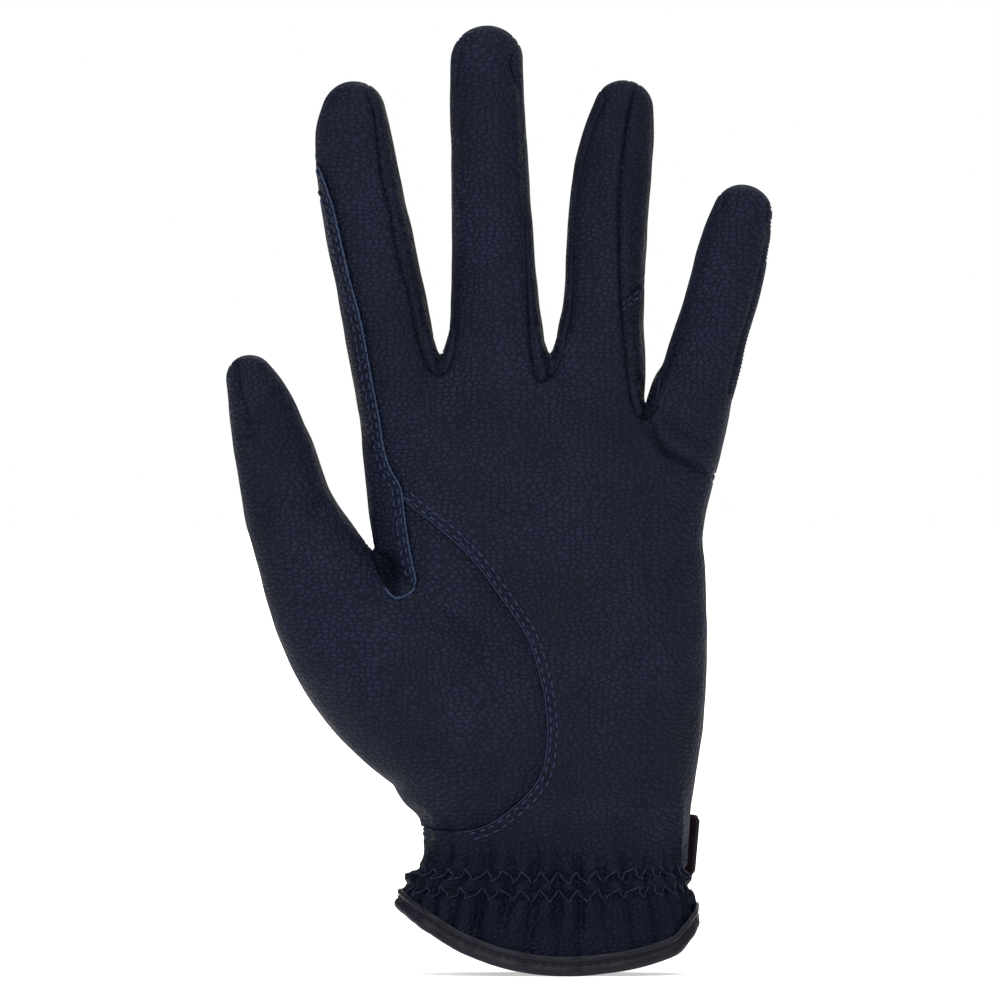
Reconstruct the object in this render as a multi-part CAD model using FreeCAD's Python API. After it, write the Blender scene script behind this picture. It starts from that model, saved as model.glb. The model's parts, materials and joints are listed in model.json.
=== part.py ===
"""Left-hand riding glove in grained synthetic leather, as worn on a hand, fingers up, palm towards -Y.

The origin is the centre of the opening that the hand goes into, +Z runs towards the fingertips and the
thumb lies on the -X side. Every panel is a thin shell. A finger is cut at its root and at its middle
knuckle, because each stretch between knuckles turns as a rigid piece. Each cut opens into a wedge on the
palm side, which closes as the finger bends. Units are millimetres and degrees.
"""
import FreeCAD
import Part

import math
import os

# ---- driving dimensions -------------------------------------------------------------------------
WALL = 1.2                  # leather with its seam allowance
FAR = 400.0                 # reach of a cutting block
ELLIPSE_POINTS = 16         # points that each section's curve runs through
HINGE_GAP = 0.35            # from each side of a knuckle cut to the hinge axis
ROOT_BEND = 70.0            # furthest bend at a finger's root
MID_BEND = 90.0             # furthest bend at a finger's middle knuckle
THUMB_ROOT_BEND = 40.0
THUMB_TIP_BEND = 60.0
FOURCHETTE_SHARE = 0.62     # half depth of a finger's side strip, as a share of the half thickness
TIP_CAP = 7.0               # the side strips stop this far short of the fingertip
STUB = 30.0                 # how far a finger's tube runs down inside the hand

# Each finger: lean to the thumb's side is negative; root hinge (x, z); distances from it along the
# finger to the middle hinge and the tip; sections as (distance, half width, half thickness).
FINGERS = {
    "index": dict(lean=-9.0, root=(-41.0, 152.5), mid=23.0, tip=60.2,
                  sections=((-STUB, 10.4, 10.4), (-12, 11.2, 9.8), (0, 10.9, 9.2), (15, 10.7, 8.8),
                            (32, 10.2, 8.4), (45, 9.2, 7.7))),
    "middle": dict(lean=-1.9, root=(-13.5, 152.5), mid=28.0, tip=73.8,
                   sections=((-STUB, 12.6, 10.6), (-10, 12.2, 10.0), (0, 11.4, 9.4), (15, 10.3, 9.0),
                             (38, 9.6, 8.5), (58, 9.3, 7.8))),
    "ring": dict(lean=4.5, root=(13.1, 152.0), mid=21.0, tip=60.6,
                 sections=((-STUB, 11.8, 10.2), (-15, 11.8, 9.6), (-5, 10.9, 9.0), (7, 10.1, 8.7),
                           (29, 9.9, 8.2), (45, 8.7, 7.5))),
    "little": dict(lean=14.5, root=(36.9, 138.0), mid=19.0, tip=49.4,
                   sections=((-STUB, 8.6, 9.6), (-10, 10.4, 9.0), (0, 10.0, 8.4), (10, 9.5, 8.1),
                             (24, 9.2, 7.7), (36, 8.4, 7.0))),
    "thumb": dict(lean=-16.0, root=(-66.1, 109.6), mid=15.5, tip=35.9,
                  sections=((-19, 13.0, 10.5), (-10, 12.0, 9.8), (-5, 11.2, 9.4), (1, 10.6, 9.0),
                            (9, 10.1, 8.7), (19, 8.9, 7.8))),
}
TIP_PROFILE = (0.35, 0.62, 0.82, 0.94, 0.99)    # where the rounded fingertip has its sections

# Palm sections up the hand: height, centre x, half width, half depth.
PALM = ((-14, 0.0, 38.2, 19.5), (4, 0.0, 38.0, 19.5), (17, 1.2, 32.2, 17.5), (32, -0.3, 35.4, 17.0),
        (55, -1.5, 40.0, 16.0), (80, -3.0, 42.0, 15.0), (105, -3.5, 42.0, 13.2), (120, -2.2, 44.5, 11.0),
        (130.5, -1.5, 45.0, 8.6))
# Ball of the thumb: centre (x, z), lean, half width, half depth, set forward by.
THUMB_BALL = (((-18, 34), -50, 14.0, 13.0, 3.0), ((-38, 62), -38, 20.0, 15.5, 4.0),
              ((-55, 84), -24, 16.0, 13.0, 2.5), ((-63.05, 99.03), -16, 11.6, 9.6, 0.0))
# Filling between neighbouring fingers up to the crotch: x, height of the crotch.
WEBS = {"index_middle": (-27.0, 143.5), "middle_ring": (0.1, 143.5), "ring_little": (24.2, 131.5)}
WEB_WIDTH = (6.0, 3.6)      # half width 24 mm down and at the crotch
WEB_DEPTH = (9.5, 6.4)      # half depth in the same places
WEB_DROP = 24.0
GUSSET_DROP = 9.0           # how far below the crotch the gusset's seam lies
GUSSET_REACH = 5.0          # half width of a gusset
GUSSET_HEAD = 6.0           # how far above the crotch the gusset's cut reaches

# Hem, binding, elastic and closure.
HEM_RADIUS = 64.0           # the hem seen from the front is an arc about (HEM_X, HEM_Z)
HEM_X = 4.2
HEM_Z = 52.7
HEM_SIDES = 20.0            # below the arc's centre by this much, the cut keeps the arc's outline
HEM_LAP = 1.0               # the leather stops this far inside the binding's edge
BINDING_HEIGHT = 4.4
BINDING_PROUD = 0.9         # how far the binding stands off the leather on each side
ELASTIC_HEIGHTS = {"upper": 15.0, "lower": 9.4}
ELASTIC_WIDTH = 4.0
ELASTIC_THICK = 0.9
ELASTIC_GAP = 0.05          # between the leather and the elastic
SLIT_X = 9.0
SLIT_WIDTH = 3.0
SLIT_TOP = 44.0
KNIT_HALF_WIDTH = 8.0       # the stretch gusset under the slit
KNIT_FOOT = 18.5
KNIT_LAP = 4.0              # how far it runs up past the slit
KNIT_GAP = 0.1              # between the leather and the gusset
KNIT_THICK = 0.8
TAB_BOTTOM = 13.0
TAB_HEIGHT = 15.7
TAB_ANCHOR_X = -5.0         # the tab is sewn down from here to TAB_HINGE_X
TAB_HINGE_X = 5.5
TAB_CUT = 0.4               # between the tab's sewn end and its free part
TAB_LEAVES_X = 24.0         # here the tab leaves the wrist's curve and runs on straight
TAB_END_X = 37.6
WRIST = (1.0, 34.5, 18.3)   # centre x, half width and half depth of the wrist under the closure
# Layers of the closure, each from and to this far out from the wrist.
LOOP_LAYER = (0.05, 0.95)
HOOK_LAYER = (1.3, 2.2)
TAB_LAYER = (2.25, 3.55)
LOOP_X = (11.5, 26.0)
HOOK_X = (12.0, 23.0)
LOOP_INSET = 1.5            # each tape's edge lies this far inside the tab's edge
HOOK_INSET = 2.0

# Seam between the palm and the ball of the thumb, seen from the front: points (x, z).
THUMB_SEAM = ((-37.0, 109.5), (-12.5, 85.5), (1.4, 52.5), (-27.5, 24.0))
THUMB_SEAM_ROUND = (-5.5, 70.5)     # a point on the upper curve
THUMB_SEAM_TURN = (-7.6, 30.8)      # a point on the lower curve
# Index side panel: the free edge of its foot.
SIDE_FOOT = ((-37.0, 109.5), (-35.0, 96.0), (-33.0, 84.0), (-39.5, 80.5))
WEB_CORNER = (-46.0, 97.0)          # where both regions meet in the web of the thumb
# The rest of each region's outline runs round outside the hand.
THUMB_SURROUND = ((-60.0, 24.0), (-120.0, 60.0), (-120.0, 160.0), (-58.0, 125.0))
SIDE_SEAM = ((-46.5, 160.0), (-46.0, 140.0), (-42.5, 122.0))
SIDE_SURROUND = ((-70.0, 110.0), (-70.0, 160.0))


def direction(lean):
    """Unit vector up a finger that leans this many degrees towards +X."""
    a = math.radians(lean)
    return FreeCAD.Vector(math.sin(a), 0, math.cos(a))


def across(lean):
    """Unit vector across a finger, towards +X."""
    a = math.radians(lean)
    return FreeCAD.Vector(math.cos(a), 0, -math.sin(a))


def ellipse(centre, lean, half_width, half_depth):
    """Closed wire of an ellipse that stands square to a finger with that lean."""
    side = across(lean) * half_width
    front = FreeCAD.Vector(0, -half_depth, 0)
    turns = [2 * math.pi * i / ELLIPSE_POINTS for i in range(ELLIPSE_POINTS)]
    curve = Part.BSplineCurve()
    curve.interpolate(Points=[centre + side * math.cos(t) + front * math.sin(t) for t in turns],
                      PeriodicFlag=True)
    return Part.Wire([curve.toShape()])


def loft(wires):
    return Part.makeLoft(wires, True, True)


def block(x0, y0, z0, x1, y1, z1):
    return Part.makeBox(x1 - x0, y1 - y0, z1 - z0, FreeCAD.Vector(x0, y0, z0))


def prism(points, y0, y1):
    """Solid whose outline in the XZ plane is these points, from y0 to y1."""
    corners = [FreeCAD.Vector(x, y0, z) for x, z in points]
    outline = Part.makePolygon(corners + corners[:1])
    return Part.Face(outline).extrude(FreeCAD.Vector(0, y1 - y0, 0))


def at(finger, distance):
    """Point on a finger's axis, measured from its root hinge."""
    x, z = finger["root"]
    return FreeCAD.Vector(x, 0, z) + direction(finger["lean"]) * distance


def tube(finger, wall=0.0):
    """Solid of a finger from its stub to its rounded tip, drawn in by wall."""
    last, width, thick = finger["sections"][-1]
    sections = [(s, w - wall, d - wall) for s, w, d in finger["sections"]]
    length = finger["tip"] - wall - last
    for share in TIP_PROFILE:
        round_off = math.sqrt(1 - share * share)
        sections.append((last + share * length, (width - wall) * round_off,
                         (thick - wall) * round_off))
    wires = [ellipse(at(finger, s), finger["lean"], w, d) for s, w, d in sections]
    return loft(wires)


def knuckle_block(finger, distance, bend, upper):
    """Block that keeps what lies above (or below) a knuckle, with the palm side cut back for the bend."""
    half = finger["lean"] / 2
    rise = FAR * math.tan(math.radians(bend / 2))
    sign = 1 if upper else -1
    profile = ((0, HINGE_GAP), (-FAR, HINGE_GAP + rise), (-FAR, FAR * 2), (FAR, FAR * 2), (FAR, HINGE_GAP))
    hinge = at(finger, distance)
    start = hinge - across(half) * (FAR / 2)
    corners = [start + FreeCAD.Vector(0, y, 0) + direction(half) * (sign * z) for y, z in profile]
    face = Part.Face(Part.makePolygon(corners + corners[:1]))
    return face.extrude(across(half) * FAR)


def finger_sectors(finger):
    """Blocks that split a finger's shell into its front, its back and its two side strips."""
    depth = finger["sections"][3][2] * FOURCHETTE_SHARE
    cap = at(finger, finger["tip"] - TIP_CAP)
    up, side = direction(finger["lean"]), across(finger["lean"])

    def slab(base, from_side, to_side, y0, y1, height):
        corners = [base + side * u + FreeCAD.Vector(0, y, 0) for u, y in
                   ((from_side, y0), (to_side, y0), (to_side, y1), (from_side, y1))]
        return Part.Face(Part.makePolygon(corners + corners[:1])).extrude(up * height)

    low = cap - up * FAR
    front = slab(low, -FAR, FAR, -FAR, -depth, FAR).fuse(slab(cap, -FAR, FAR, -FAR, 0, FAR))
    back = slab(low, -FAR, FAR, depth, FAR, FAR).fuse(slab(cap, -FAR, FAR, 0, FAR, FAR))
    return {
        "front": front.removeSplitter(),
        "back": back.removeSplitter(),
        "left": slab(low, -FAR, 0, -depth, depth, FAR),
        "right": slab(low, 0, FAR, -depth, depth, FAR),
    }


def solid_of(shape):
    """The shape's largest solid, without the crumbs of a cut."""
    return max(shape.Solids, key=lambda s: s.Volume)


# A finger's strips: where the side is sewn to a fourchette it is named so, else front and back meet there.
STRIP_NAMES = {
    "index": {"left": "side_panel", "right": "fourchette"},
    "middle": {"left": "fourchette_thumb_side", "right": "fourchette_little_side"},
    "ring": {"left": "fourchette_thumb_side", "right": "fourchette_little_side"},
    "little": {"left": "fourchette"},
    "thumb": {},
}


def finger_parts(name, finger):
    """Every shell piece of one finger, for the stretch below and the stretch above its middle knuckle."""
    root_bend, mid_bend = (THUMB_ROOT_BEND, THUMB_TIP_BEND) if name == "thumb" else (ROOT_BEND, MID_BEND)
    shell = tube(finger).cut(tube(finger, WALL))
    above_root = shell.common(knuckle_block(finger, 0, root_bend, True))
    stretches = {
        "lower": above_root.common(knuckle_block(finger, finger["mid"], mid_bend, False)),
        "upper": shell.common(knuckle_block(finger, finger["mid"], mid_bend, True)),
    }
    blocks = finger_sectors(finger)
    strips = STRIP_NAMES[name]
    for side in ("left", "right"):
        if side not in strips:          # no strip here: the front and back panels meet at the edge
            half = blocks.pop(side)
            blocks["front"] = blocks["front"].fuse(half.common(block(-FAR, -FAR, -FAR, FAR, 0, FAR)))
            blocks["back"] = blocks["back"].fuse(half.common(block(-FAR, 0, -FAR, FAR, FAR, FAR)))
    made = {}
    for stretch, piece in stretches.items():
        for sector, cutter in blocks.items():
            label = strips.get(sector, sector)
            made[f"{name}_{stretch}_{label}"] = solid_of(piece.common(cutter))
    return made


def web(x, top, wall):
    """Filling between two fingers, up to the crotch."""
    return loft([ellipse(FreeCAD.Vector(x, 0, z), 0, w - wall, d - wall) for z, w, d in
                 ((top - WEB_DROP, WEB_WIDTH[0], WEB_DEPTH[0]), (top - wall, WEB_WIDTH[1], WEB_DEPTH[1]))])


def hand_solid(wall=0.0):
    """The hand without its free fingers, drawn in by wall, closed at both ends."""
    palm = [(z, x, w - wall, d - wall) for z, x, w, d in PALM]
    top, x, w, d = palm[-1]
    palm[-1] = (top - wall, x, w, d)
    solid = loft([ellipse(FreeCAD.Vector(x, 0, z), 0, w, d) for z, x, w, d in palm])
    ball = [ellipse(FreeCAD.Vector(x, -forward, z), lean, w - wall, d - wall)
            for (x, z), lean, w, d, forward in THUMB_BALL]
    solid = solid.fuse(loft(ball))
    for x, top in WEBS.values():
        solid = solid.fuse(web(x, top, wall))
    for name, finger in FINGERS.items():
        stub = tube(finger, wall)
        bend = THUMB_ROOT_BEND if name == "thumb" else ROOT_BEND
        if wall == 0.0:
            stub = stub.common(knuckle_block(finger, 0, bend, False))
        solid = solid.fuse(stub)
    return solid


def hem_disc(radius):
    """Everything above the hem arc of that radius."""
    round_end = Part.makeCylinder(radius, FAR, FreeCAD.Vector(HEM_X, -FAR / 2, HEM_Z), FreeCAD.Vector(0, 1, 0))
    return round_end.fuse(block(-FAR, -FAR / 2, HEM_Z - HEM_SIDES, FAR, FAR / 2, FAR))


def thumb_region():
    """Prism, in front only, of what the ball-of-thumb panel covers."""
    def point(p):
        return FreeCAD.Vector(p[0], -FAR / 2, p[1])

    start, upper, turn, end = (point(p) for p in THUMB_SEAM)
    edges = [
        Part.makeLine(start, upper),
        Part.Arc(upper, point(THUMB_SEAM_ROUND), turn).toShape(),
        Part.Arc(turn, point(THUMB_SEAM_TURN), end).toShape(),
    ]
    outside = [point(p) for p in THUMB_SURROUND + (WEB_CORNER,)]
    foot = [point(p) for p in reversed(SIDE_FOOT)]
    chain = [end] + outside + foot
    edges += [Part.makeLine(a, b) for a, b in zip(chain, chain[1:])]
    return Part.Face(Part.Wire(edges)).extrude(FreeCAD.Vector(0, FAR / 2, 0))


def side_region():
    """Prism of what the index side panel covers below the index finger's root."""
    return prism(SIDE_SEAM + SIDE_FOOT + (WEB_CORNER,) + SIDE_SURROUND, -FAR / 2, 0)


def slit():
    """Block that opens the back of the wrist from the hem up."""
    return block(SLIT_X - SLIT_WIDTH / 2, 0, -FAR, SLIT_X + SLIT_WIDTH / 2, FAR, SLIT_TOP)


def hand_panels():
    """Front, ball of the thumb, index side and back panels, each with its share of the hand's shell."""
    shell = hand_solid().cut(hand_solid(WALL)).common(hem_disc(HEM_RADIUS - HEM_LAP))
    front = shell.common(block(-FAR, -FAR, -FAR, FAR, 0, FAR))
    back = shell.common(block(-FAR, 0, -FAR, FAR, FAR, FAR))
    thumb, side = thumb_region(), side_region()
    made = {}
    for name, (x, top) in WEBS.items():
        depth = WEB_DEPTH[1] - WALL
        place = block(x - GUSSET_REACH, -depth, top - GUSSET_DROP, x + GUSSET_REACH, depth,
                      top + GUSSET_HEAD)
        made[f"gusset_{name}"] = solid_of(shell.common(place))
        front, back = front.cut(place), back.cut(place)
    made["palm_panel"] = solid_of(front.cut(thumb).cut(side))
    made["thumb_ball_panel"] = solid_of(front.common(thumb))
    made["index_root_side_panel"] = solid_of(front.common(side).cut(thumb))
    made["back_panel"] = solid_of(back.cut(slit()))
    return made


def hand_solid_offset(offset):
    """The wrist and palm alone, grown by offset (drawn in if negative)."""
    return loft([ellipse(FreeCAD.Vector(x, 0, z), 0, w + offset, d + offset) for z, x, w, d in PALM[:5]])


def cuff_parts():
    """Binding round the hem and the two elastics inside the wrist."""
    hem_band = hem_disc(HEM_RADIUS).cut(hem_disc(HEM_RADIUS - BINDING_HEIGHT))
    sleeve = hand_solid_offset(BINDING_PROUD).cut(hand_solid_offset(-WALL - BINDING_PROUD))
    leather = hand_solid_offset(0).cut(hand_solid_offset(-WALL)).common(hem_disc(HEM_RADIUS - HEM_LAP))
    made = {"hem_binding": solid_of(sleeve.common(hem_band).cut(leather).cut(slit()))}
    for name, height in ELASTIC_HEIGHTS.items():
        low = height - ELASTIC_WIDTH / 2
        band = block(-FAR, -FAR, low, FAR, FAR, low + ELASTIC_WIDTH)
        outside = -WALL - ELASTIC_GAP
        sleeve = hand_solid_offset(outside).cut(hand_solid_offset(outside - ELASTIC_THICK))
        made[f"wrist_elastic_{name}"] = solid_of(sleeve.common(band).cut(slit()))
    return made


def closure_layer(layer, x0, x1, bottom, height, straight=False):
    """A strip of tape or leather that wraps the back of the wrist, or runs on straight at its end."""
    centre_x, half_width, half_depth = WRIST
    inner, outer = layer

    def oval(offset):
        wire = ellipse(FreeCAD.Vector(centre_x, 0, bottom), 0, half_width + offset, half_depth + offset)
        return Part.Face(wire).extrude(FreeCAD.Vector(0, 0, height))

    wrap_end = TAB_LEAVES_X if straight else x1
    strip = oval(outer).cut(oval(inner)).common(block(x0, 0, -FAR, wrap_end, FAR, FAR))
    if straight:
        def on_oval(offset):
            a, b = half_width + offset, half_depth + offset
            u = TAB_LEAVES_X - centre_x
            y = b * math.sqrt(1 - (u / a) ** 2)
            return y, -(b * b * u) / (a * a * y)

        (y_in, slope), (y_out, _) = on_oval(inner), on_oval(outer)
        run = x1 - TAB_LEAVES_X
        corners = [FreeCAD.Vector(x, y, bottom) for x, y in (
            (TAB_LEAVES_X, y_in), (x1, y_in + slope * run), (x1, y_out + slope * run), (TAB_LEAVES_X, y_out))]
        flat = Part.Face(Part.makePolygon(corners + corners[:1])).extrude(FreeCAD.Vector(0, 0, height))
        strip = strip.fuse(flat).removeSplitter()
    return solid_of(strip)


def closure_parts():
    """Gusset under the slit, loop tape on the back, and the tab with its hook tape."""
    knit_out = -WALL - KNIT_GAP
    knit = hand_solid_offset(knit_out).cut(hand_solid_offset(knit_out - KNIT_THICK)).common(
        block(SLIT_X - KNIT_HALF_WIDTH, 0, KNIT_FOOT, SLIT_X + KNIT_HALF_WIDTH, FAR, SLIT_TOP + KNIT_LAP))

    def tape(layer, reach, inset):
        return closure_layer(layer, *reach, TAB_BOTTOM + inset, TAB_HEIGHT - 2 * inset)

    base_layer = (LOOP_LAYER[0], TAB_LAYER[1])
    return {
        "closure_gusset": solid_of(knit),
        "closure_tab_base": closure_layer(base_layer, TAB_ANCHOR_X, TAB_HINGE_X - TAB_CUT, TAB_BOTTOM,
                                          TAB_HEIGHT),
        "closure_loop_tape": tape(LOOP_LAYER, LOOP_X, LOOP_INSET),
        "closure_hook_tape": tape(HOOK_LAYER, HOOK_X, HOOK_INSET),
        "closure_tab": closure_layer(TAB_LAYER, TAB_HINGE_X, TAB_END_X, TAB_BOTTOM, TAB_HEIGHT, True),
    }


def main():
    os.makedirs("parts", exist_ok=True)
    made = {}
    made.update(hand_panels())
    made.update(cuff_parts())
    made.update(closure_parts())
    for name, finger in FINGERS.items():
        made.update(finger_parts(name, finger))
    for name, shape in made.items():
        shape.exportStep(f"parts/{name}.step")
        print(name, round(shape.Volume, 2), shape.isValid())


main()
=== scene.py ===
"""Visual model of a left-hand riding glove in dark navy grained synthetic leather, over its CAD frame.

The leather's surface is one smooth form, half in front (towards -Y) and half behind, whose height above
the glove's middle plane comes from rounded limbs joined to the palm. Each half is triangulated along its
seams, displaced with seams, folds and gathers, and then cut into the panels that the glove is sewn from.
A panel that crosses a knuckle is cut there into one piece for each stretch. Lengths in this script are
millimetres until a mesh is made.
"""
import json
import math

import bpy
import numpy as np
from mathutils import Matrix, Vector
from mathutils.bvhtree import BVHTree
from mathutils.geometry import delaunay_2d_cdt
from mathutils.kdtree import KDTree


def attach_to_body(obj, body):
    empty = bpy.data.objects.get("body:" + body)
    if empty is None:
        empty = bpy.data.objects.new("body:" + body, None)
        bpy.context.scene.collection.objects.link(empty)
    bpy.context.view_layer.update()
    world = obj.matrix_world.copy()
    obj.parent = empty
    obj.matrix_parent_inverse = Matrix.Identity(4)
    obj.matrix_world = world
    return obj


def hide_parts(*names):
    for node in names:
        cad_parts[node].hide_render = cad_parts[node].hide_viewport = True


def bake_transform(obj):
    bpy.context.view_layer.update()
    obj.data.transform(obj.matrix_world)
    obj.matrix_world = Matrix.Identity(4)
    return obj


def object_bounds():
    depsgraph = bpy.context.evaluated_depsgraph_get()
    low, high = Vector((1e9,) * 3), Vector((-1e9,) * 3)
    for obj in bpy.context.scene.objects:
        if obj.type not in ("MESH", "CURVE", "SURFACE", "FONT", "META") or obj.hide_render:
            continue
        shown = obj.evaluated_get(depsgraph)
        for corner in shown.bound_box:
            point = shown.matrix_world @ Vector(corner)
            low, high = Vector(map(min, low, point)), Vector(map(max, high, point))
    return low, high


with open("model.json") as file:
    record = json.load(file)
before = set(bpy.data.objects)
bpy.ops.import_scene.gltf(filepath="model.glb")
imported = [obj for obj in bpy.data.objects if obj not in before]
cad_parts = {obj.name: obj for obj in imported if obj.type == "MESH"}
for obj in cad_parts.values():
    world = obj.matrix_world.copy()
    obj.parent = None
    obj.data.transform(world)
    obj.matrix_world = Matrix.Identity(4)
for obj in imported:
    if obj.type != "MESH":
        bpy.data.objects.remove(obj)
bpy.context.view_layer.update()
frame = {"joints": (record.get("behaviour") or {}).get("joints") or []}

MM = 0.001
RNG = np.random.default_rng(7)

# ---- the form -----------------------------------------------------------------------------------
# Limbs, from inside the hand to the tip: x, z, radius seen from the front, half depth in front, behind.
LIMBS = {
    "index": ((-36.5, 118, 9.0, 4.0, 4.0), (-38.2, 134, 10.6, 9.8, 9.6),
              (-40.9, 152.5, 10.95, 9.4, 9.2), (-43.0, 162.5, 10.8, 9.0, 8.9),
              (-45.1, 172.5, 10.85, 8.8, 8.6), (-47.0, 182.5, 10.55, 8.5, 8.3),
              (-48.4, 191, 10.1, 8.2, 8.0), (-49.3, 198.5, 9.4, 7.8, 7.5), (-49.2, 204.2, 8.1, 7.0, 6.6)),
    "middle": ((-12.0, 116, 10.5, 4.0, 4.0), (-12.9, 136, 12.2, 10.0, 9.8), (-13.4, 147.5, 11.9, 9.8, 9.6),
               (-13.6, 154, 11.3, 9.5, 9.3), (-13.9, 162.5, 10.6, 9.2, 9.0), (-14.2, 172.5, 10.2, 9.0, 8.8),
               (-14.8, 182.5, 9.9, 8.8, 8.6), (-15.4, 197.5, 9.5, 8.5, 8.2), (-15.8, 209, 9.3, 8.1, 7.8),
               (-15.7, 217.2, 9.0, 7.5, 7.1)),
    "ring": ((10.8, 118, 10.5, 4.0, 4.0), (12.0, 136, 11.6, 9.7, 9.6), (12.6, 147.5, 10.9, 9.3, 9.2),
             (13.2, 154, 10.3, 9.0, 8.9), (13.8, 162.5, 10.0, 8.8, 8.7), (14.3, 172.5, 10.05, 8.7, 8.5),
             (15.0, 182.5, 9.85, 8.5, 8.3), (16.1, 192.5, 9.4, 8.2, 7.9), (17.4, 200, 8.5, 7.6, 7.3),
             (18.3, 205.2, 7.4, 6.7, 6.3)),
    "little": ((30.5, 108, 8.5, 4.0, 4.0), (33.2, 124, 10.4, 9.0, 8.8), (35.0, 132.5, 10.2, 8.8, 8.6),
               (37.1, 137.5, 9.7, 8.6, 8.4), (39.1, 144.5, 9.5, 8.3, 8.1), (41.3, 152.5, 9.2, 8.1, 7.9),
               (44.1, 162.5, 9.05, 7.8, 7.6), (45.9, 170, 8.8, 7.4, 7.2), (48.2, 179.0, 7.5, 6.5, 6.2)),
    "thumb": ((-17, 38, 13.0, 11.0, 6.0), (-30.2, 54.8, 20.0, 18.0, 11.0), (-40.8, 65.3, 20.2, 18.5, 11.5),
              (-52.0, 78.4, 16.9, 16.0, 11.5), (-61.0, 95.4, 12.9, 12.4, 10.6),
              (-65.0, 104, 11.6, 10.6, 9.8),
              (-66.7, 110, 10.9, 9.8, 9.3), (-68.3, 117.5, 10.35, 9.2, 8.8), (-69.8, 122.5, 9.6, 8.8, 8.4),
              (-71.3, 128, 8.7, 8.2, 7.8), (-73.0, 133, 7.6, 7.4, 7.0), (-75.1, 137.9, 6.2, 6.3, 6.0)),
}
# Palm and cuff: height, left edge, right edge, half depth in front, behind.
PALM = ((-14, -38.4, 37.8, 19.8, 19.8), (2, -37.5, 36.5, 19.3, 19.3), (8, -37.1, 35.6, 18.6, 18.6),
        (12.5, -35.7, 34.4, 17.9, 17.9), (18, -31.8, 33.8, 17.3, 17.2), (24, -31.6, 34.5, 17.0, 17.0),
        (28.5, -32.8, 35.0, 17.0, 16.8), (32.5, -36.6, 35.5, 17.0, 16.6), (39, -40.0, 36.7, 16.8, 16.3),
        (47.5, -41.5, 38.0, 16.6, 16.0), (60, -41.0, 39.1, 16.2, 15.6),
        (75, -42.0, 39.6, 15.6, 15.0), (90, -43.4, 39.0, 14.8, 14.4), (98, -44.6, 38.2, 14.2, 13.8),
        (105, -45.5, 39.2, 13.4, 13.0), (115, -46.5, 41.7, 12.2, 11.8), (125, -47.6, 44.2, 10.8, 10.4),
        (133, -48.3, 45.6, 9.6, 9.2), (148, -50.0, 47.0, 8.0, 8.0))
CROTCH_HIGH = 144.0         # height of the crotches beside the middle finger
CROTCH_LOW = 131.3          # height of the crotch beside the little finger
CROTCH_STEP = (12.0, 24.0)  # between these x the palm's top goes down from one to the other
CROTCH_FALL = 9.0           # the palm rounds off towards its top over this height
CROTCH_CENTRES = (-27.4, 0.0, 24.0)
CROTCH_SLOPE = 3.3          # the sides of a crotch rise this steeply
CROTCH_ROUND = 0.5
CROTCH_RISE = 8.0           # up to this height above its foot
HEM_CENTRE = (4.2, 53.1)
HEM_RADIUS = 64.0
HEM_LIFT_LEFT = (1.0, -8.0, 28.0)       # lift towards the side, where it starts, over what width
HEM_LIFT_RIGHT = (7.5, 31.5, 6.0)
HEM_SAG_RIGHT = (0.9, 14.0, 14.0)
LEATHER_SHORT = 0.9         # the leather stops this far above the binding's lower edge
FULLNESS = 0.45             # 0.5 makes a limb's section an ellipse, less makes it fuller
BLEND_POWER = 4

# ---- seams, as seen from the front --------------------------------------------------------------
# Each fourchette seam runs from one fingertip down to the crotch and up the next finger.
SEAMS = {
    "index_middle": ((-42.0, 213.0), (-45.6, 210.3), (-43.6, 204), (-41.9, 190.5), (-39.3, 178.5),
                     (-37.0, 166), (-34.8, 159), (-32.3, 147), (-30.2, 140.8), (-28.0, 138.5),
                     (-25.6, 140.5), (-24.5, 144.5),
                     (-24.2, 151), (-23.9, 163), (-23.9, 187.5), (-23.9, 207), (-22.6, 221), (-24.5, 226)),
    "middle_ring": ((-7.0, 223.0), (-9.4, 216.5), (-7.4, 208), (-6.5, 190.7), (-5.5, 172.5), (-4.9, 157.5),
                    (-4.3, 145.0), (-3.4, 138.9), (-1.8, 136.9), (0.4, 139.2), (2.0, 143.6), (3.4, 148.5),
                    (4.6, 153), (5.3, 163), (5.6, 172), (6.3, 182.5), (8.0, 192.5), (10.9, 202),
                    (13.4, 207.4), (11.5, 212)),
    "ring_little": ((23.5, 213.0), (21.3, 210.0), (19.3, 201), (17.8, 189), (17.3, 176), (17.8, 161.5),
                    (18.8, 149.7), (20.0, 138), (20.8, 131.5), (22.8, 128.2), (25.2, 129.6), (27.4, 137),
                    (29.9, 143.5), (32.6, 152.5), (35.6, 162.5), (37.8, 170.5), (40.4, 177.5), (43.2, 182.3),
                    (41.5, 187)),
    "side_panel": ((-61.0, 196.0), (-58.0, 191.5), (-55.5, 185), (-53.7, 179.5), (-52.2, 172.5),
                   (-50.0, 163.2), (-47.3, 153), (-45.8, 145.5), (-44.2, 136.5), (-42.6, 128.5),
                   (-41.4, 120.5), (-39.6, 115),
                   (-37.2, 110.6), (-36.3, 104.5), (-35.4, 98), (-34.2, 91.5), (-33.4, 87.0), (-35.4, 84.3),
                   (-39.0, 83.4), (-42.0, 87.5), (-44.0, 93), (-45.1, 98.6), (-47.0, 102.5)),
    "thumb_ball": ((-41.5, 113.2), (-37.6, 108.6), (-33.5, 104.8), (-28.8, 101.2), (-22.9, 96),
                   (-17.6, 90.3), (-12.9, 83.8),
                   (-8.8, 78), (-5.2, 72), (-2.8, 64), (-1.3, 56.8), (-0.8, 49), (-1.9, 40.5), (-5.2, 35),
                   (-11.2, 29.5), (-17.2, 26.0), (-23.2, 24.9), (-28, 25.2), (-36.5, 26.8)),
}
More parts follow.
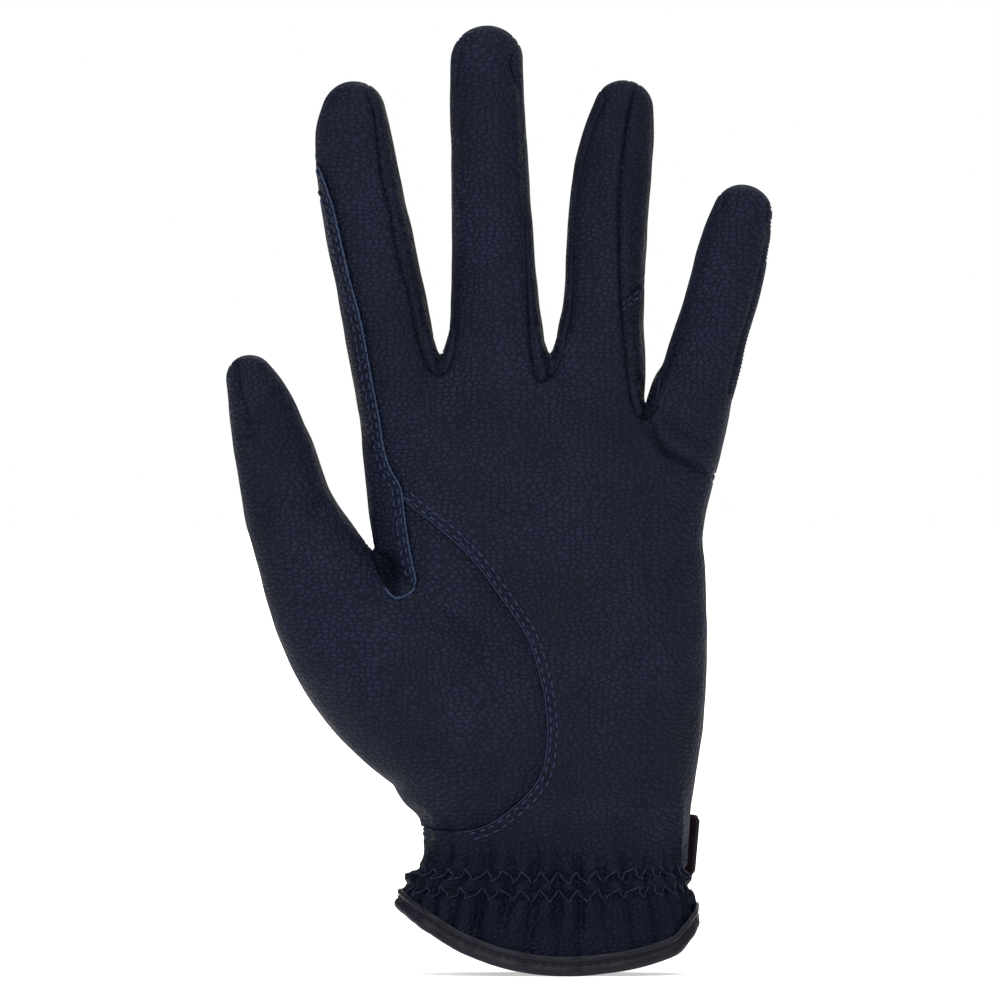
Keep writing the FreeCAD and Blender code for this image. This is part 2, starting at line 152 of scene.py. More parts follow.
# Slit in the back of the wrist: its two sides and its top.
SLIT_X = (7.5, 10.5)
SLIT_TOP = 44.0
# A point inside each panel.
SEEDS_FRONT = {"index_middle": (-27.0, 142.0), "middle_ring": (-1.5, 141.0), "ring_little": (21.3, 150.0),
               "side_panel": (-50.0, 153.0), "thumb_ball": (-50.0, 80.0), "palm": (15.0, 80.0)}
SEEDS_BACK = {"index_middle": (-27.0, 142.0), "middle_ring": (-1.5, 141.0), "ring_little": (21.3, 150.0),
              "slit": (9.0, 20.0), "back": (20.0, 80.0)}

# ---- knuckles -----------------------------------------------------------------------------------
# Zones round the knuckles along each digit, from its root hinge: root start and end, cut, middle start and
# end.
ZONES = {"index": (-8.0, 9.0, 10.8, 12.7, 33.3), "middle": (-8.0, 9.5, 13.0, 17.0, 38.5),
         "ring": (-8.0, 9.0, 10.0, 11.0, 31.0), "little": (-7.0, 8.4, 8.9, 9.5, 28.5),
         "thumb": (-5.0, 5.0, 6.5, 8.0, 22.5)}
# Reach of the cut at each digit's root and at its middle knuckle.
CUT_REACH = {"index": (11.9, 11.9), "middle": (12.9, 11.4), "ring": (11.8, 10.9), "little": (11.2, 10.0),
             "thumb": (11.6, 10.8)}

# ---- relief -------------------------------------------------------------------------------------
# Creases in front: points, width, depth (a negative depth is a ridge).
CREASES = (
    (((-34.8, 80.5), (-24.5, 76.2), (-16, 70.8), (-5, 62.8)), 2.4, 1.0),
    (((-35.5, 84.0), (-25.0, 80.0), (-17.0, 75.0), (-9.0, 69.0)), 2.6, -0.5),
    (((-33, 100), (-30, 99.4), (-27, 99.2)), 1.1, 0.5),
    (((-54.8, 107.8), (-57.5, 105.5), (-60, 102.0)), 2.0, 1.0),
    (((24.6, 128.5), (25.6, 124), (28, 120), (31.8, 117.8), (35.8, 116), (43.0, 112.4)), 0.8, 1.5),
    (((27.5, 124.5), (30, 122.2), (33.5, 120.2), (41.5, 117)), 1.5, -0.8),
    (((26.6, 129.5), (29.5, 126.2), (34.0, 124.0), (40.0, 122.4)), 0.9, 0.6),
    (((-78.6, 141.6), (-77.9, 137), (-76.7, 131.8), (-75.3, 126.5)), 0.55, 1.2),
    (((-77.8, 124.4), (-75.2, 123.7), (-72.2, 124.6)), 1.0, 1.3),
    (((-26.5, 136.0), (-24.5, 128.0), (-23.0, 119.0)), 2.4, 0.35),
    (((-2.0, 134.5), (-2.5, 127.0), (-2.0, 118.0)), 2.4, 0.35),
    (((17.6, 156.4), (20.5, 158.9), (24.4, 162.6)), 0.5, 0.8),
    (((-20.0, 28.0), (-21.0, 36.0), (-25.0, 44.0)), 2.2, 0.35),
    (((54.6, 181.5), (54.3, 172.5), (52.2, 163.0), (49.8, 154.0), (47.2, 145.0), (44.9, 134.0)), 0.5, 0.9),
)
# Dimples in front and behind: centre, radii, depth.
DIMPLES_FRONT = (((-6, 88), (18, 26), 1.6), ((22, 50), (12, 26), -1.2), ((-14, 104), (10, 7), 0.5))
DIMPLES_BACK = (((0, 128), (40, 9), -0.8),)
ELASTIC_ROWS = (13.4, 8.9)
ROW_RISE = 2.2              # the rows rise this much towards the edges
ZIGZAG = 1.6                # half height of a zigzag row
# Fold between thumb and index finger, with the dark pocket beside it.
WEB_FOLD = ((-36.4, 84.0), (-39.0, 83.4), (-42.0, 87.5), (-44.0, 93), (-45.1, 98.6))
POCKET_DEPTH = 6.0
POCKET_WIDTH = 3.4
PLEATS = 37                 # gathers round the wrist
# Raised lines on the back of the hand.
BACK_POINTS = (((-26.0, 118), (-16.5, 88), (-10.0, 62)), ((-1.5, 122), (0.5, 92), (-1.0, 64)),
               ((22.0, 116), (17.0, 90), (8.5, 66)))

# ---- mesh ---------------------------------------------------------------------------------------
FIELD_STEP = 0.5            # grid on which the outline is traced
GRID = 1.35                 # spacing of points inside a panel
CUFF_GRID = 0.85            # and below this height in the gathered cuff
CUFF_TOP = 21.0
EDGE_STEP = 1.0             # spacing of points along outline and seams
EDGE_LAYERS = (0.12, 0.5, 1.1, 1.9, 2.8)
SEAM_LAYERS = (0.35, 0.8, 1.4, 2.2)
CREASE_LAYERS = (0.01, 0.55, 1.2)
LEAST_DEPTH = 0.3 * 0.85    # other points lie at least this far inside the outline
PANEL_THICK = 1.0
# CAD node of each side strip, by the seam it lies in and its finger.
FOURCHETTE_NODES = {
    ("index_middle", "index"): "fourchette", ("index_middle", "middle"): "fourchette_thumb_side",
    ("middle_ring", "middle"): "fourchette_little_side", ("middle_ring", "ring"): "fourchette_thumb_side",
    ("ring_little", "ring"): "fourchette_little_side", ("ring_little", "little"): "fourchette",
}

# ---- thread, edges and binding ------------------------------------------------------------------
WRIST_CENTRE = 1.0          # x of the wrist's middle
WRIST_OVAL = (33.0, 17.3)   # half width and half depth where the elastics are
SLIT_ANGLE = math.atan2(16.6, 8.0)      # polar angle of the slit, seen from above
RAY_START = 90.0            # rays towards the leather start this far out
# Height of a stitch above the leather and its share of the thread's radius, from end to end.
STITCH_RISE = (-0.15, 0.20, 0.30, 0.20, -0.15)
STITCH_GIRTH = (0.6, 0.95, 1.0, 0.95, 0.6)
ZIGZAG_RISE = (-0.1, 0.10, 0.17, 0.18, 0.17, 0.10, -0.1)
ZIGZAG_GIRTH = (0.7, 1, 1, 1, 1, 1, 0.7)
LINE_STEP = 0.2             # spacing of the points that stitches are measured along
SIDE_ROWS = (0.85, 2.15)    # rows of stitches beside the side panel's edge
THUMB_ROWS = (0.95, 2.45)   # and beside the palm panel's edge over the ball of the thumb
ROW_WIDTH = 0.4             # width of the groove that a row draws into the leather
SEAM_PITCH = 2.5
SEAM_SHARE = 0.66           # share of the pitch that shows as thread
SEAM_THREAD = 0.27          # radius of the thread
HEM_PITCH = 2.3
HEM_GROOVE = (1.95, 0.42)   # the binding's groove: above the leather's edge, out from its surface

# Section of the hem binding: distance above the leather's edge, distance out from its surface.
BINDING_SECTION = ((3.95, 0.25), (3.85, 0.72), (3.45, 1.02), (2.95, 1.05), (2.5, 0.82), (2.15, 0.42),
                   (1.75, 0.40), (1.35, 0.78), (0.85, 1.10), (0.2, 1.20), (-0.45, 1.02), (-0.95, 0.52),
                   (-1.1, -0.15), (-1.0, -0.85), (-0.6, -1.45), (0.1, -1.75), (1.2, -1.8), (2.6, -1.75),
                   (3.4, -1.6), (3.6, -1.2), (3.0, -0.9), (1.5, -0.8), (1.0, -0.4), (1.5, 0.0), (3.2, 0.05))
HEM_STEP = 0.8              # spacing of the binding's rings
HEM_SMOOTHING = (6, 30)     # how often its path and its normals are smoothed
HEM_UPRIGHT = 0.3           # share of the normals' tilt that the binding keeps
RING_STEPS = 230            # rings along an elastic
LINING_DEPTH = 1.35         # from the leather's outside to the lining
ELASTIC_DEPTH = 2.0         # from the leather's outside to the middle of an elastic
ELASTIC_HALF = 2.0          # half its height
ELASTIC_GAP = 0.16          # angle left free beside the slit

# ---- closure ------------------------------------------------------------------------------------
WRIST = (1.0, 34.5, 18.3)   # centre x, half width and half depth of the wrist under the closure
# Layers of the closure: distances of their inner and outer face from the wrist.
LOOP_LAYER = (-0.1, 0.95)
HOOK_LAYER = (1.3, 2.2)
TAB_LAYER = (2.25, 3.55)
TAB_HEIGHT = (13.0, 28.7)
TAB_BASE_X = (-5.0, 5.1)
TAB_X = (5.5, 37.6)
TAB_LEAVES = 24.0           # beyond this x the tab runs on straight
TAB_MARGIN = 1.5            # from the tab's edge to its stitches
TAPE_HEIGHT = (14.5, 27.2)
LOOP_X = (11.5, 26.0)
HOOK_X = (12.0, 23.0)
HOOK_INSET = 0.5            # the hook tape is this much narrower on each side than the loop tape
STRIP_STEP = 0.8            # spacing of a strip's columns
STRIP_ROWS = 15
STRIP_SOFTENING = 0.28      # how much thinner a strip is on each face at its edge
TAB_SLANT = 1.4             # the tab's lower edge ends this much short of its upper edge
KNIT_REACH = 6.0            # the gusset's reach beyond the slit on each side
KNIT_DEPTH = 1.55           # from the leather's outside to the gusset
KNIT_THICK = 0.8
KNIT_RIB = 1.5              # pitch of the ribs

# ---- materials ----------------------------------------------------------------------------------
NAVY = (0.0056, 0.0077, 0.0190)
CUFF_PAINTED_SHADE = (0.0, 0.15, 0.33)   # painted shade that makes the gathered cuff darker and bluer: its share of each colour
GRAIN_CELL = 1.75           # size of a scale
GRAIN_RELIEF = 0.30
GRAIN_ROUGHNESS = (0.52, 0.68)

# ---- camera, light and floor --------------------------------------------------------------------
# Here lengths are metres; the lens is in millimetres.
FLOOR_RADIUS = 60.0
FLOOR_GLOW = 0.5            # the floor is a light table, so that it stays pale under the glove
VIEW_WIDTH = 0.250          # width that the camera sees at the glove
VIEW_CENTRE = (-0.0125, 0.1075)
LENS = 600
SENSOR = 36
# Soft suns: direction that the light comes from, strength, angular size.
SUNS = {"key": ((-0.30, -1.0, 0.62), 2.3, 50), "fill": ((0.9, -0.8, 0.25), 0.45, 70),
        "top": ((0.1, -0.15, 1.0), 2.2, 50), "rear": ((0.35, 1.0, 0.45), 1.3, 70)}
WORLD_LIGHT = 0.12


def curve(points, step):
    """Points at even spacing along the smooth curve through these points."""
    p = np.array(points, float)
    ends = np.vstack([2 * p[0] - p[1], p, 2 * p[-1] - p[-2]])
    out = []
    for a, b, c, d in zip(ends, ends[1:], ends[2:], ends[3:]):
        t = np.linspace(0, 1, 24, endpoint=False)[:, None]
        out.append(0.5 * (2 * b + (c - a) * t + (2 * a - 5 * b + 4 * c - d) * t ** 2
                          + (3 * b - a - 3 * c + d) * t ** 3))
    dense = np.vstack(out + [p[-1:]])
    return resample(dense, step)


def run_along(line):
    """Distance along a polyline at each of its points."""
    return np.concatenate([[0], np.cumsum(np.linalg.norm(np.diff(line, axis=0), axis=1))])


def rows_at(line, run, at):
    """The rows of a table of points at these distances along it."""
    return np.column_stack([np.interp(at, run, line[:, k]) for k in range(line.shape[1])])


def resample(line, step):
    """The same polyline with points at even spacing."""
    run = run_along(line[:, :2])
    count = max(2, int(round(run[-1] / step)) + 1)
    return rows_at(line, run, np.linspace(0, run[-1], count))


def tree_of(points):
    """Search tree of points in the front view."""
    tree = KDTree(len(points))
    for k, (x, z) in enumerate(points.tolist()):
        tree.insert((x, z, 0), k)
    tree.balance()
    return tree


def smooth_max(values):
    """Smooth union of heights."""
    return np.sum([v ** BLEND_POWER for v in values], axis=0) ** (1 / BLEND_POWER)


LIMB_LINES = {name: curve(rows, 0.4) for name, rows in LIMBS.items()}
PALM_DENSE = curve(np.insert(np.array(PALM, float), 1, 0.0, axis=1), 0.5)


def palm_rows(z):
    """Left edge, right edge and half depths of the palm at these heights."""
    return [np.interp(z, PALM_DENSE[:, 0], PALM_DENSE[:, k]) for k in (2, 3, 4, 5)]


def crotch_top(x):
    """Height of the palm's top at this x, with a narrow rounded notch between each two fingers."""
    t = np.clip((x - CROTCH_STEP[0]) / (CROTCH_STEP[1] - CROTCH_STEP[0]), 0, 1)
    away = np.min([np.abs(x - centre) for centre in CROTCH_CENTRES], axis=0)
    rise = CROTCH_SLOPE * (np.hypot(away, CROTCH_ROUND) - CROTCH_ROUND)
    return CROTCH_HIGH + (CROTCH_LOW - CROTCH_HIGH) * t * t * (3 - 2 * t) + np.minimum(rise, CROTCH_RISE)


def limb_terms(x, z, line):
    """Nearest measure of each point to a limb: distance inside it, and height in front and behind."""
    inside = np.full(x.shape, -1e3)
    front = np.zeros(x.shape)
    back = np.zeros(x.shape)
    near = (x > line[:, 0].min() - 24) & (x < line[:, 0].max() + 24) & (z > line[:, 1].min() - 24)
    xs, zs = x[near], z[near]
    i, f, b = (np.full(xs.shape, v) for v in (-1e3, 0.0, 0.0))
    for cx, cz, r, df, db in line:
        gap = np.sqrt((xs - cx) ** 2 + (zs - cz) ** 2)
        i = np.maximum(i, r - gap)
        share = np.clip(1 - (gap / r) ** 2, 0, None) ** FULLNESS
        f = np.maximum(f, df * share)
        b = np.maximum(b, db * share)
    inside[near], front[near], back[near] = i, f, b
    return inside, front, back


def form(x, z):
    """For points of the front view: distance inside the outline, height in front, height behind."""
    left, right, df, db = palm_rows(z)
    top = crotch_top(x)
    middle, half = (left + right) / 2, (right - left) / 2
    q = np.clip(np.abs(x - middle) / half, 0, 1)
    share = np.clip(1 - q ** 2.5, 0, None) ** FULLNESS
    rise = np.clip((top - z) / CROTCH_FALL, 0, 1)
    share = share * np.clip(1 - (1 - rise) ** 2, 0, None) ** 0.5
    inside = np.minimum(np.minimum(x - left, right - x), top - z)
    fronts, backs = [df * share], [db * share]
    for line in LIMB_LINES.values():
        i, f, b = limb_terms(x, z, line)
        inside = np.maximum(inside, i)
        fronts.append(f)
        backs.append(b)
    return inside, smooth_max(fronts), smooth_max(backs)


def hem_height(x):
    """Height of the hem's lower edge at this x."""
    arc = HEM_CENTRE[1] - np.sqrt(np.clip(HEM_RADIUS ** 2 - (x - HEM_CENTRE[0]) ** 2, 0, None))
    left = HEM_LIFT_LEFT[0] * np.clip((HEM_LIFT_LEFT[1] - x) / HEM_LIFT_LEFT[2], 0, 1.1) ** 2
    right = HEM_LIFT_RIGHT[0] * np.clip((x - HEM_LIFT_RIGHT[1]) / HEM_LIFT_RIGHT[2], 0, 1.1) ** 2
    sag = HEM_SAG_RIGHT[0] * np.clip((x - HEM_SAG_RIGHT[1]) / HEM_SAG_RIGHT[2], 0, 1)
    return arc + left + right - sag


def hem_inside(x, z):
    """Distance above the leather's lower edge."""
    return np.where(z < 30, z - hem_height(x) - LEATHER_SHORT, 50.0)


def leather_depth(points):
    """Distance of points inside the leather's whole outline, its lower edge included."""
    return np.minimum(form(points[:, 0], points[:, 1])[0], hem_inside(points[:, 0], points[:, 1]))


def trace_outline():
    """Outline of the leather in the front view as one closed loop, by marching squares."""
    xs = np.arange(-90, 66, FIELD_STEP)
    zs = np.arange(-18, 234, FIELD_STEP)
    gx, gz = np.meshgrid(xs, zs, indexing="ij")
    inside = form(gx.ravel(), gz.ravel())[0].reshape(gx.shape)
    g = np.minimum(inside, hem_inside(gx, gz))
    g[np.abs(g) < 1e-6] = 1e-6
    links = {}
    sign = g > 0
    mixed = sign[:-1, :-1].astype(int) + sign[1:, :-1] + sign[:-1, 1:] + sign[1:, 1:]
    for i, j in np.argwhere((mixed > 0) & (mixed < 4)):
        ring = ((i, j), (i + 1, j), (i + 1, j + 1), (i, j + 1))
        cuts = [tuple(sorted((a, b))) for a, b in zip(ring, ring[1:] + ring[:1]) if sign[a] != sign[b]]
        for a, b in zip(cuts[::2], cuts[1::2]):
            links.setdefault(a, []).append(b)
            links.setdefault(b, []).append(a)

    def place(edge):
        """Where the outline crosses an edge of the grid."""
        (i0, j0), (i1, j1) = edge
        t = g[i0, j0] / (g[i0, j0] - g[i1, j1])
        return xs[i0] + t * (xs[i1] - xs[i0]), zs[j0] + t * (zs[j1] - zs[j0])

    loops = []
    while links:
        start = next(iter(links))
        loop, here, last = [start], start, None
        while True:
            onward = [e for e in links.pop(here) if e != last]
            nearby = [e for e in onward if e in links]
            if not nearby:
                break
            last, here = here, nearby[0]
            loop.append(here)
        loops.append(loop)
    loop = np.array([place(e) for e in max(loops, key=len)])
    return resample(np.vstack([loop, loop[:1]]), EDGE_STEP)[:-1]


def offset(line, distance, closed=False):
    """The polyline moved sideways, to its left if distance is positive."""
    if closed:
        along = np.roll(line, -1, 0) - np.roll(line, 1, 0)
    else:
        along = np.gradient(line, axis=0)
    along /= np.linalg.norm(along, axis=1)[:, None]
    return line + np.column_stack([-along[:, 1], along[:, 0]]) * distance


def joint_place(name):
    """A hinge's place in the front view, and the direction of its axis there."""
    joint = next(j for j in frame["joints"] if j["name"] == name)
    x, _, z = joint["pos_m"]
    return np.array([x, z]) / MM, np.array([joint["axis"][0], joint["axis"][2]])


class Digit:
    """A digit's hinges and knuckle zones, seen from the front."""

    def __init__(self, name):
        self.name = name
        tip_joint = "tip_knuckle" if name == "thumb" else "middle_knuckle"
        self.root, self.side = joint_place(f"{name}_root_knuckle")
        self.middle = joint_place(f"{name}_{tip_joint}")[0]
        self.up = np.array([-self.side[1], self.side[0]])
        self.zone = ZONES[name]

    def rise(self, points):
        """Distance along the digit from its root hinge."""
        return (points - self.root) @ self.up

    def level(self, distance):
        """Point above the root hinge, along the digit, in metres."""
        x, z = self.root + self.up * distance
        return x * MM, 0.0, z * MM

    def cut_line(self, distance, reach):
        """Straight line across the digit at that distance."""
        line = LIMB_LINES[self.name][:, :2]
        centre = line[np.argmin(np.abs(self.rise(line) - distance))]
        across = centre + self.side * np.arange(-reach, reach, 0.2)[:, None]
        return across[form(across[:, 0], across[:, 1])[0] > 0.7]


DIGITS = {name: Digit(name) for name in LIMBS}
class Spacing:
    """Points that keep a gap from each other, found through square cells."""

    def __init__(self):
        self.cells = {}

    @staticmethod
    def cell(p):
        """The cell that a place lies in."""
        return int(p[0] // GRID), int(p[1] // GRID)

    def add(self, p):
        """Takes up a place."""
        self.cells.setdefault(self.cell(p), []).append(p)

    def free(self, p, gap):
        """Whether no point lies within the gap of this place."""
        i, j = self.cell(p)
        for a in (i - 1, i, i + 1):
            for b in (j - 1, j, j + 1):
                for q in self.cells.get((a, b), ()):
                    if (p[0] - q[0]) ** 2 + (p[1] - q[1]) ** 2 < gap * gap:
                        return False
        return True


class Sheet:
    """One triangulation of the front view, used for the front and for the back of the glove."""

    def __init__(self):
        self.outline = trace_outline()
        self.lines = {name: curve(points, EDGE_STEP * 0.9) for name, points in SEAMS.items()}
        left, right = SLIT_X
        self.lines["slit"] = curve(((left, -14), (left, 0), (left, 20), (left, SLIT_TOP - 2),
                                    ((left + right) / 2, SLIT_TOP), (right, SLIT_TOP - 2), (right, 20),
                                    (right, 0), (right, -14)), EDGE_STEP * 0.9)
        for name, digit in DIGITS.items():
            for where, reach in zip((0, 2), CUT_REACH[name]):
                line = digit.cut_line(digit.zone[where], reach)
                self.lines[f"cut_{name}_{where}"] = resample(line, EDGE_STEP)
        self.triangulate()
        self.label()

    def rows(self):
        """Rows beside the outline and the seams, then a lattice: points, gap to keep, least depth."""
        for d in EDGE_LAYERS:
            for side in (1, -1):
                yield offset(self.outline, side * d, True), min(EDGE_STEP * 0.45, d * 0.85), d * 0.85
        for name, line in self.lines.items():
            if not name.startswith("cut"):
                for d in SEAM_LAYERS:
                    for side in (1, -1):
                        yield offset(line, side * d), EDGE_STEP * 0.33, LEAST_DEPTH
        for points, width, _ in CREASES:
            if width < 1.5:
                for d in CREASE_LAYERS:
                    for side in (1, -1):
                        yield offset(curve(points, 0.5), side * d), 0.35, LEAST_DEPTH
        for grid, low, high in ((CUFF_GRID, -16, CUFF_TOP), (GRID, CUFF_TOP, 232)):
            xs = np.arange(-84, 62, grid)
            zs = np.arange(low, high, grid * math.sqrt(0.75))
            lattice = [(x + (k % 2) * grid / 2, z) for k, z in enumerate(zs) for x in xs]
            yield np.array(lattice), grid * 0.62, LEAST_DEPTH

    def scatter(self):
        """Points inside the outline, none of them too near to another."""
        spacing = Spacing()
        for p in np.vstack([self.outline] + list(self.lines.values())).tolist():
            spacing.add(p)
        kept = []
        for row, gap, least in self.rows():
            for p in row[leather_depth(row) > least].tolist():
                if spacing.free(p, gap):
                    spacing.add(p)
                    kept.append(p)
        return kept

    def triangulate(self):
        """Triangles between the outline, the seams, the cuts and the scattered points."""
        points, edges, owner = [], [], []

        def chain(line, name, closed):
            """Adds a line of fixed edges."""
            first = len(points)
            points.extend(line.tolist())
            count = len(line)
            for i in range(count if closed else count - 1):
                edges.append((first + i, first + (i + 1) % count))
                owner.append(name)

        chain(self.outline, "outline", True)
        for name, line in self.lines.items():
            chain(line, name, False)
        points.extend(self.scatter())
        result = delaunay_2d_cdt([Vector(p) for p in points], edges, [], 0, 1e-5, True)
        verts, out_edges, faces, _, from_edges, _ = result
        self.points = np.array([tuple(v) for v in verts])
        self.faces = np.array(faces)
        self.barrier = {}
        for (a, b), sources in zip(out_edges, from_edges):
            if sources:
                self.barrier[(min(a, b), max(a, b))] = {owner[s] for s in sources}
        centres = self.points[self.faces].mean(1)
        depth = leather_depth(centres)
        outline_ends = {v for edge, names in self.barrier.items() if "outline" in names for v in edge}
        all_on_edge = np.array([all(v in outline_ends for v in f) for f in self.faces.tolist()])
        self.faces = self.faces[(depth > 0) & ~(all_on_edge & (depth < 0.05))]
        self.on_outline = outline_ends
        used = np.unique(self.faces)
        renumber = np.full(len(self.points), -1)
        renumber[used] = np.arange(len(used))
        self.points = self.points[used]
        self.faces = renumber[self.faces]
        self.barrier = {tuple(sorted((int(renumber[a]), int(renumber[b])))): names
                        for (a, b), names in self.barrier.items() if renumber[a] >= 0 and renumber[b] >= 0}
        self.on_outline = {int(renumber[v]) for v in outline_ends if renumber[v] >= 0}

    def label(self):
        """Which panel each triangle belongs to, in front and behind, and which stretch."""
        self.centres = self.points[self.faces].mean(1)
        neighbours = self.neighbours()
        tree = tree_of(self.centres)
        self.kinds = {}
        for side, seeds in (("front", SEEDS_FRONT), ("back", SEEDS_BACK)):
            starts = {name: tree.find((x, z, 0))[1] for name, (x, z) in seeds.items()}
            self.kinds[side] = self.fill(starts, neighbours)
        self.stretch = self.stretches()

    def neighbours(self):
        """For each triangle the ones beside it, with the lines that run between them."""
        across = {}
        for f, (a, b, c) in enumerate(self.faces.tolist()):
            for edge in ((a, b), (b, c), (c, a)):
                across.setdefault((min(edge), max(edge)), []).append(f)
        neighbours = [[] for _ in self.faces]
        for edge, pair in across.items():
            if len(pair) == 2:
                names = self.barrier.get(edge, set())
                neighbours[pair[0]].append((pair[1], names))
                neighbours[pair[1]].append((pair[0], names))
        return neighbours

    def fill(self, starts, neighbours):
        """Each panel's name spread from its start up to the seams round it."""
        walls = set(starts) | {"outline"}
        kind = np.full(len(self.faces), "", dtype="U16")
        for name, start in starts.items():
            stack = [start]
            while stack:
                f = stack.pop()
                if kind[f]:
                    continue
                kind[f] = name
                stack += [g for g, names in neighbours[f] if not kind[g] and not (names & walls)]
        return kind

    def stretches(self):
        """The palm, or the stretch of the nearest digit, for each triangle."""
        stretch = np.full(len(self.faces), "palm", dtype="U16")
        gaps = []
        for line in LIMB_LINES.values():
            gap = np.full(len(self.centres), 1e3)
            for x, z, radius in line[::4, :3]:
                gap = np.minimum(gap, np.hypot(self.centres[:, 0] - x, self.centres[:, 1] - z) - radius)
            gaps.append(gap)
        nearest = np.array(list(LIMB_LINES))[np.argmin(gaps, axis=0)]
        for name, digit in DIGITS.items():
            rise = digit.rise(self.centres)
            mine = nearest == name
            stretch[mine & (rise > digit.zone[0])] = f"{name}_lower"
            stretch[mine & (rise > digit.zone[2])] = f"{name}_upper"
        return stretch


# ---- the surface --------------------------------------------------------------------------------
class NearLine:
    """Distance of points from a line, and how far along it they lie."""

    def __init__(self, points):
        self.line = curve(points, 0.25) if len(points) < 60 else resample(np.array(points), 0.25)
        self.run = run_along(self.line)
        self.tree = tree_of(self.line)

    def measure(self, points):
        """Distances and runs of these points."""
        found = [self.tree.find((x, z, 0)) for x, z in points.tolist()]
        k = np.array([f[1] for f in found])
        return np.array([f[2] for f in found]), self.run[k]


def bump(gap, width):
    """A soft bell over that gap."""
    return np.exp(-(gap / width) ** 2)


def waves(points, scale, seed, count=9):
    """Smooth noise of about unit height from sine waves in all directions."""
    rng = np.random.default_rng(seed)
    total = np.zeros(len(points))
    for _ in range(count):
        direction = rng.normal(size=points.shape[1])
        direction *= rng.uniform(0.7, 1.4) * 2 * math.pi / scale / np.linalg.norm(direction)
        total += np.sin(points @ direction + rng.uniform(0, 2 * math.pi))
    return total / math.sqrt(count)


def ease(t):
    """Smooth step from 0 to 1."""
    t = np.clip(t, 0, 1)
    return t * t * (3 - 2 * t)


def row_height(row, x):
    """Height of a zigzag row at this x."""
    return row + ROW_RISE * (np.abs(x) / 36) ** 3


def cuff_gathers(points):
    """Relief of the gathers round the wrist, above, between and below the elastics."""
    x, y, z = points.T
    around = np.arctan2(y / 18, x / 36)
    top, low = ELASTIC_ROWS
    lift = row_height(0, x)
    drift = 1.2 * np.sin(3 * around + 0.6) * ease((low - z) / 12)
    phase = PLEATS * around + drift + 0.8 * np.sin(5 * around + 1)
    pleat = 2 * np.abs(np.sin(phase / 2)) ** 0.8 - 1.15
    wide = np.sin(PLEATS * 0.47 * around + 2.0 + 0.8 * np.sin(3 * around) + 0.05 * z)
    above = 1.0 * ease((z - lift - top + 0.5) / 2) * (1 - ease((z - lift - top - 1) / 9))
    between = 1.5 * bump(z - lift - (top + low) / 2, 1.9)
    below = ease((low + 0.5 - z + lift) / 2) * (1.6 - 1.1 * ease((low - 1 - z) / 13))
    strength = 0.75 + 0.35 * np.sin(4 * around + 0.5) * np.sin(7 * around)
    relief = pleat * (above + between + below * strength)
    relief += 0.6 * wide * (ease((z - 12) / 8) * (1 - ease((z - 20) / 20)) + 0.8 * ease((6 - z) / 6))
    for row in ELASTIC_ROWS:
        relief -= 1.0 * bump(z - lift - row, 1.1)
    return relief * (1 - ease((z - 38) / 8)) + 0.45 * bump(z - lift - (top + low) / 2, 1.4)


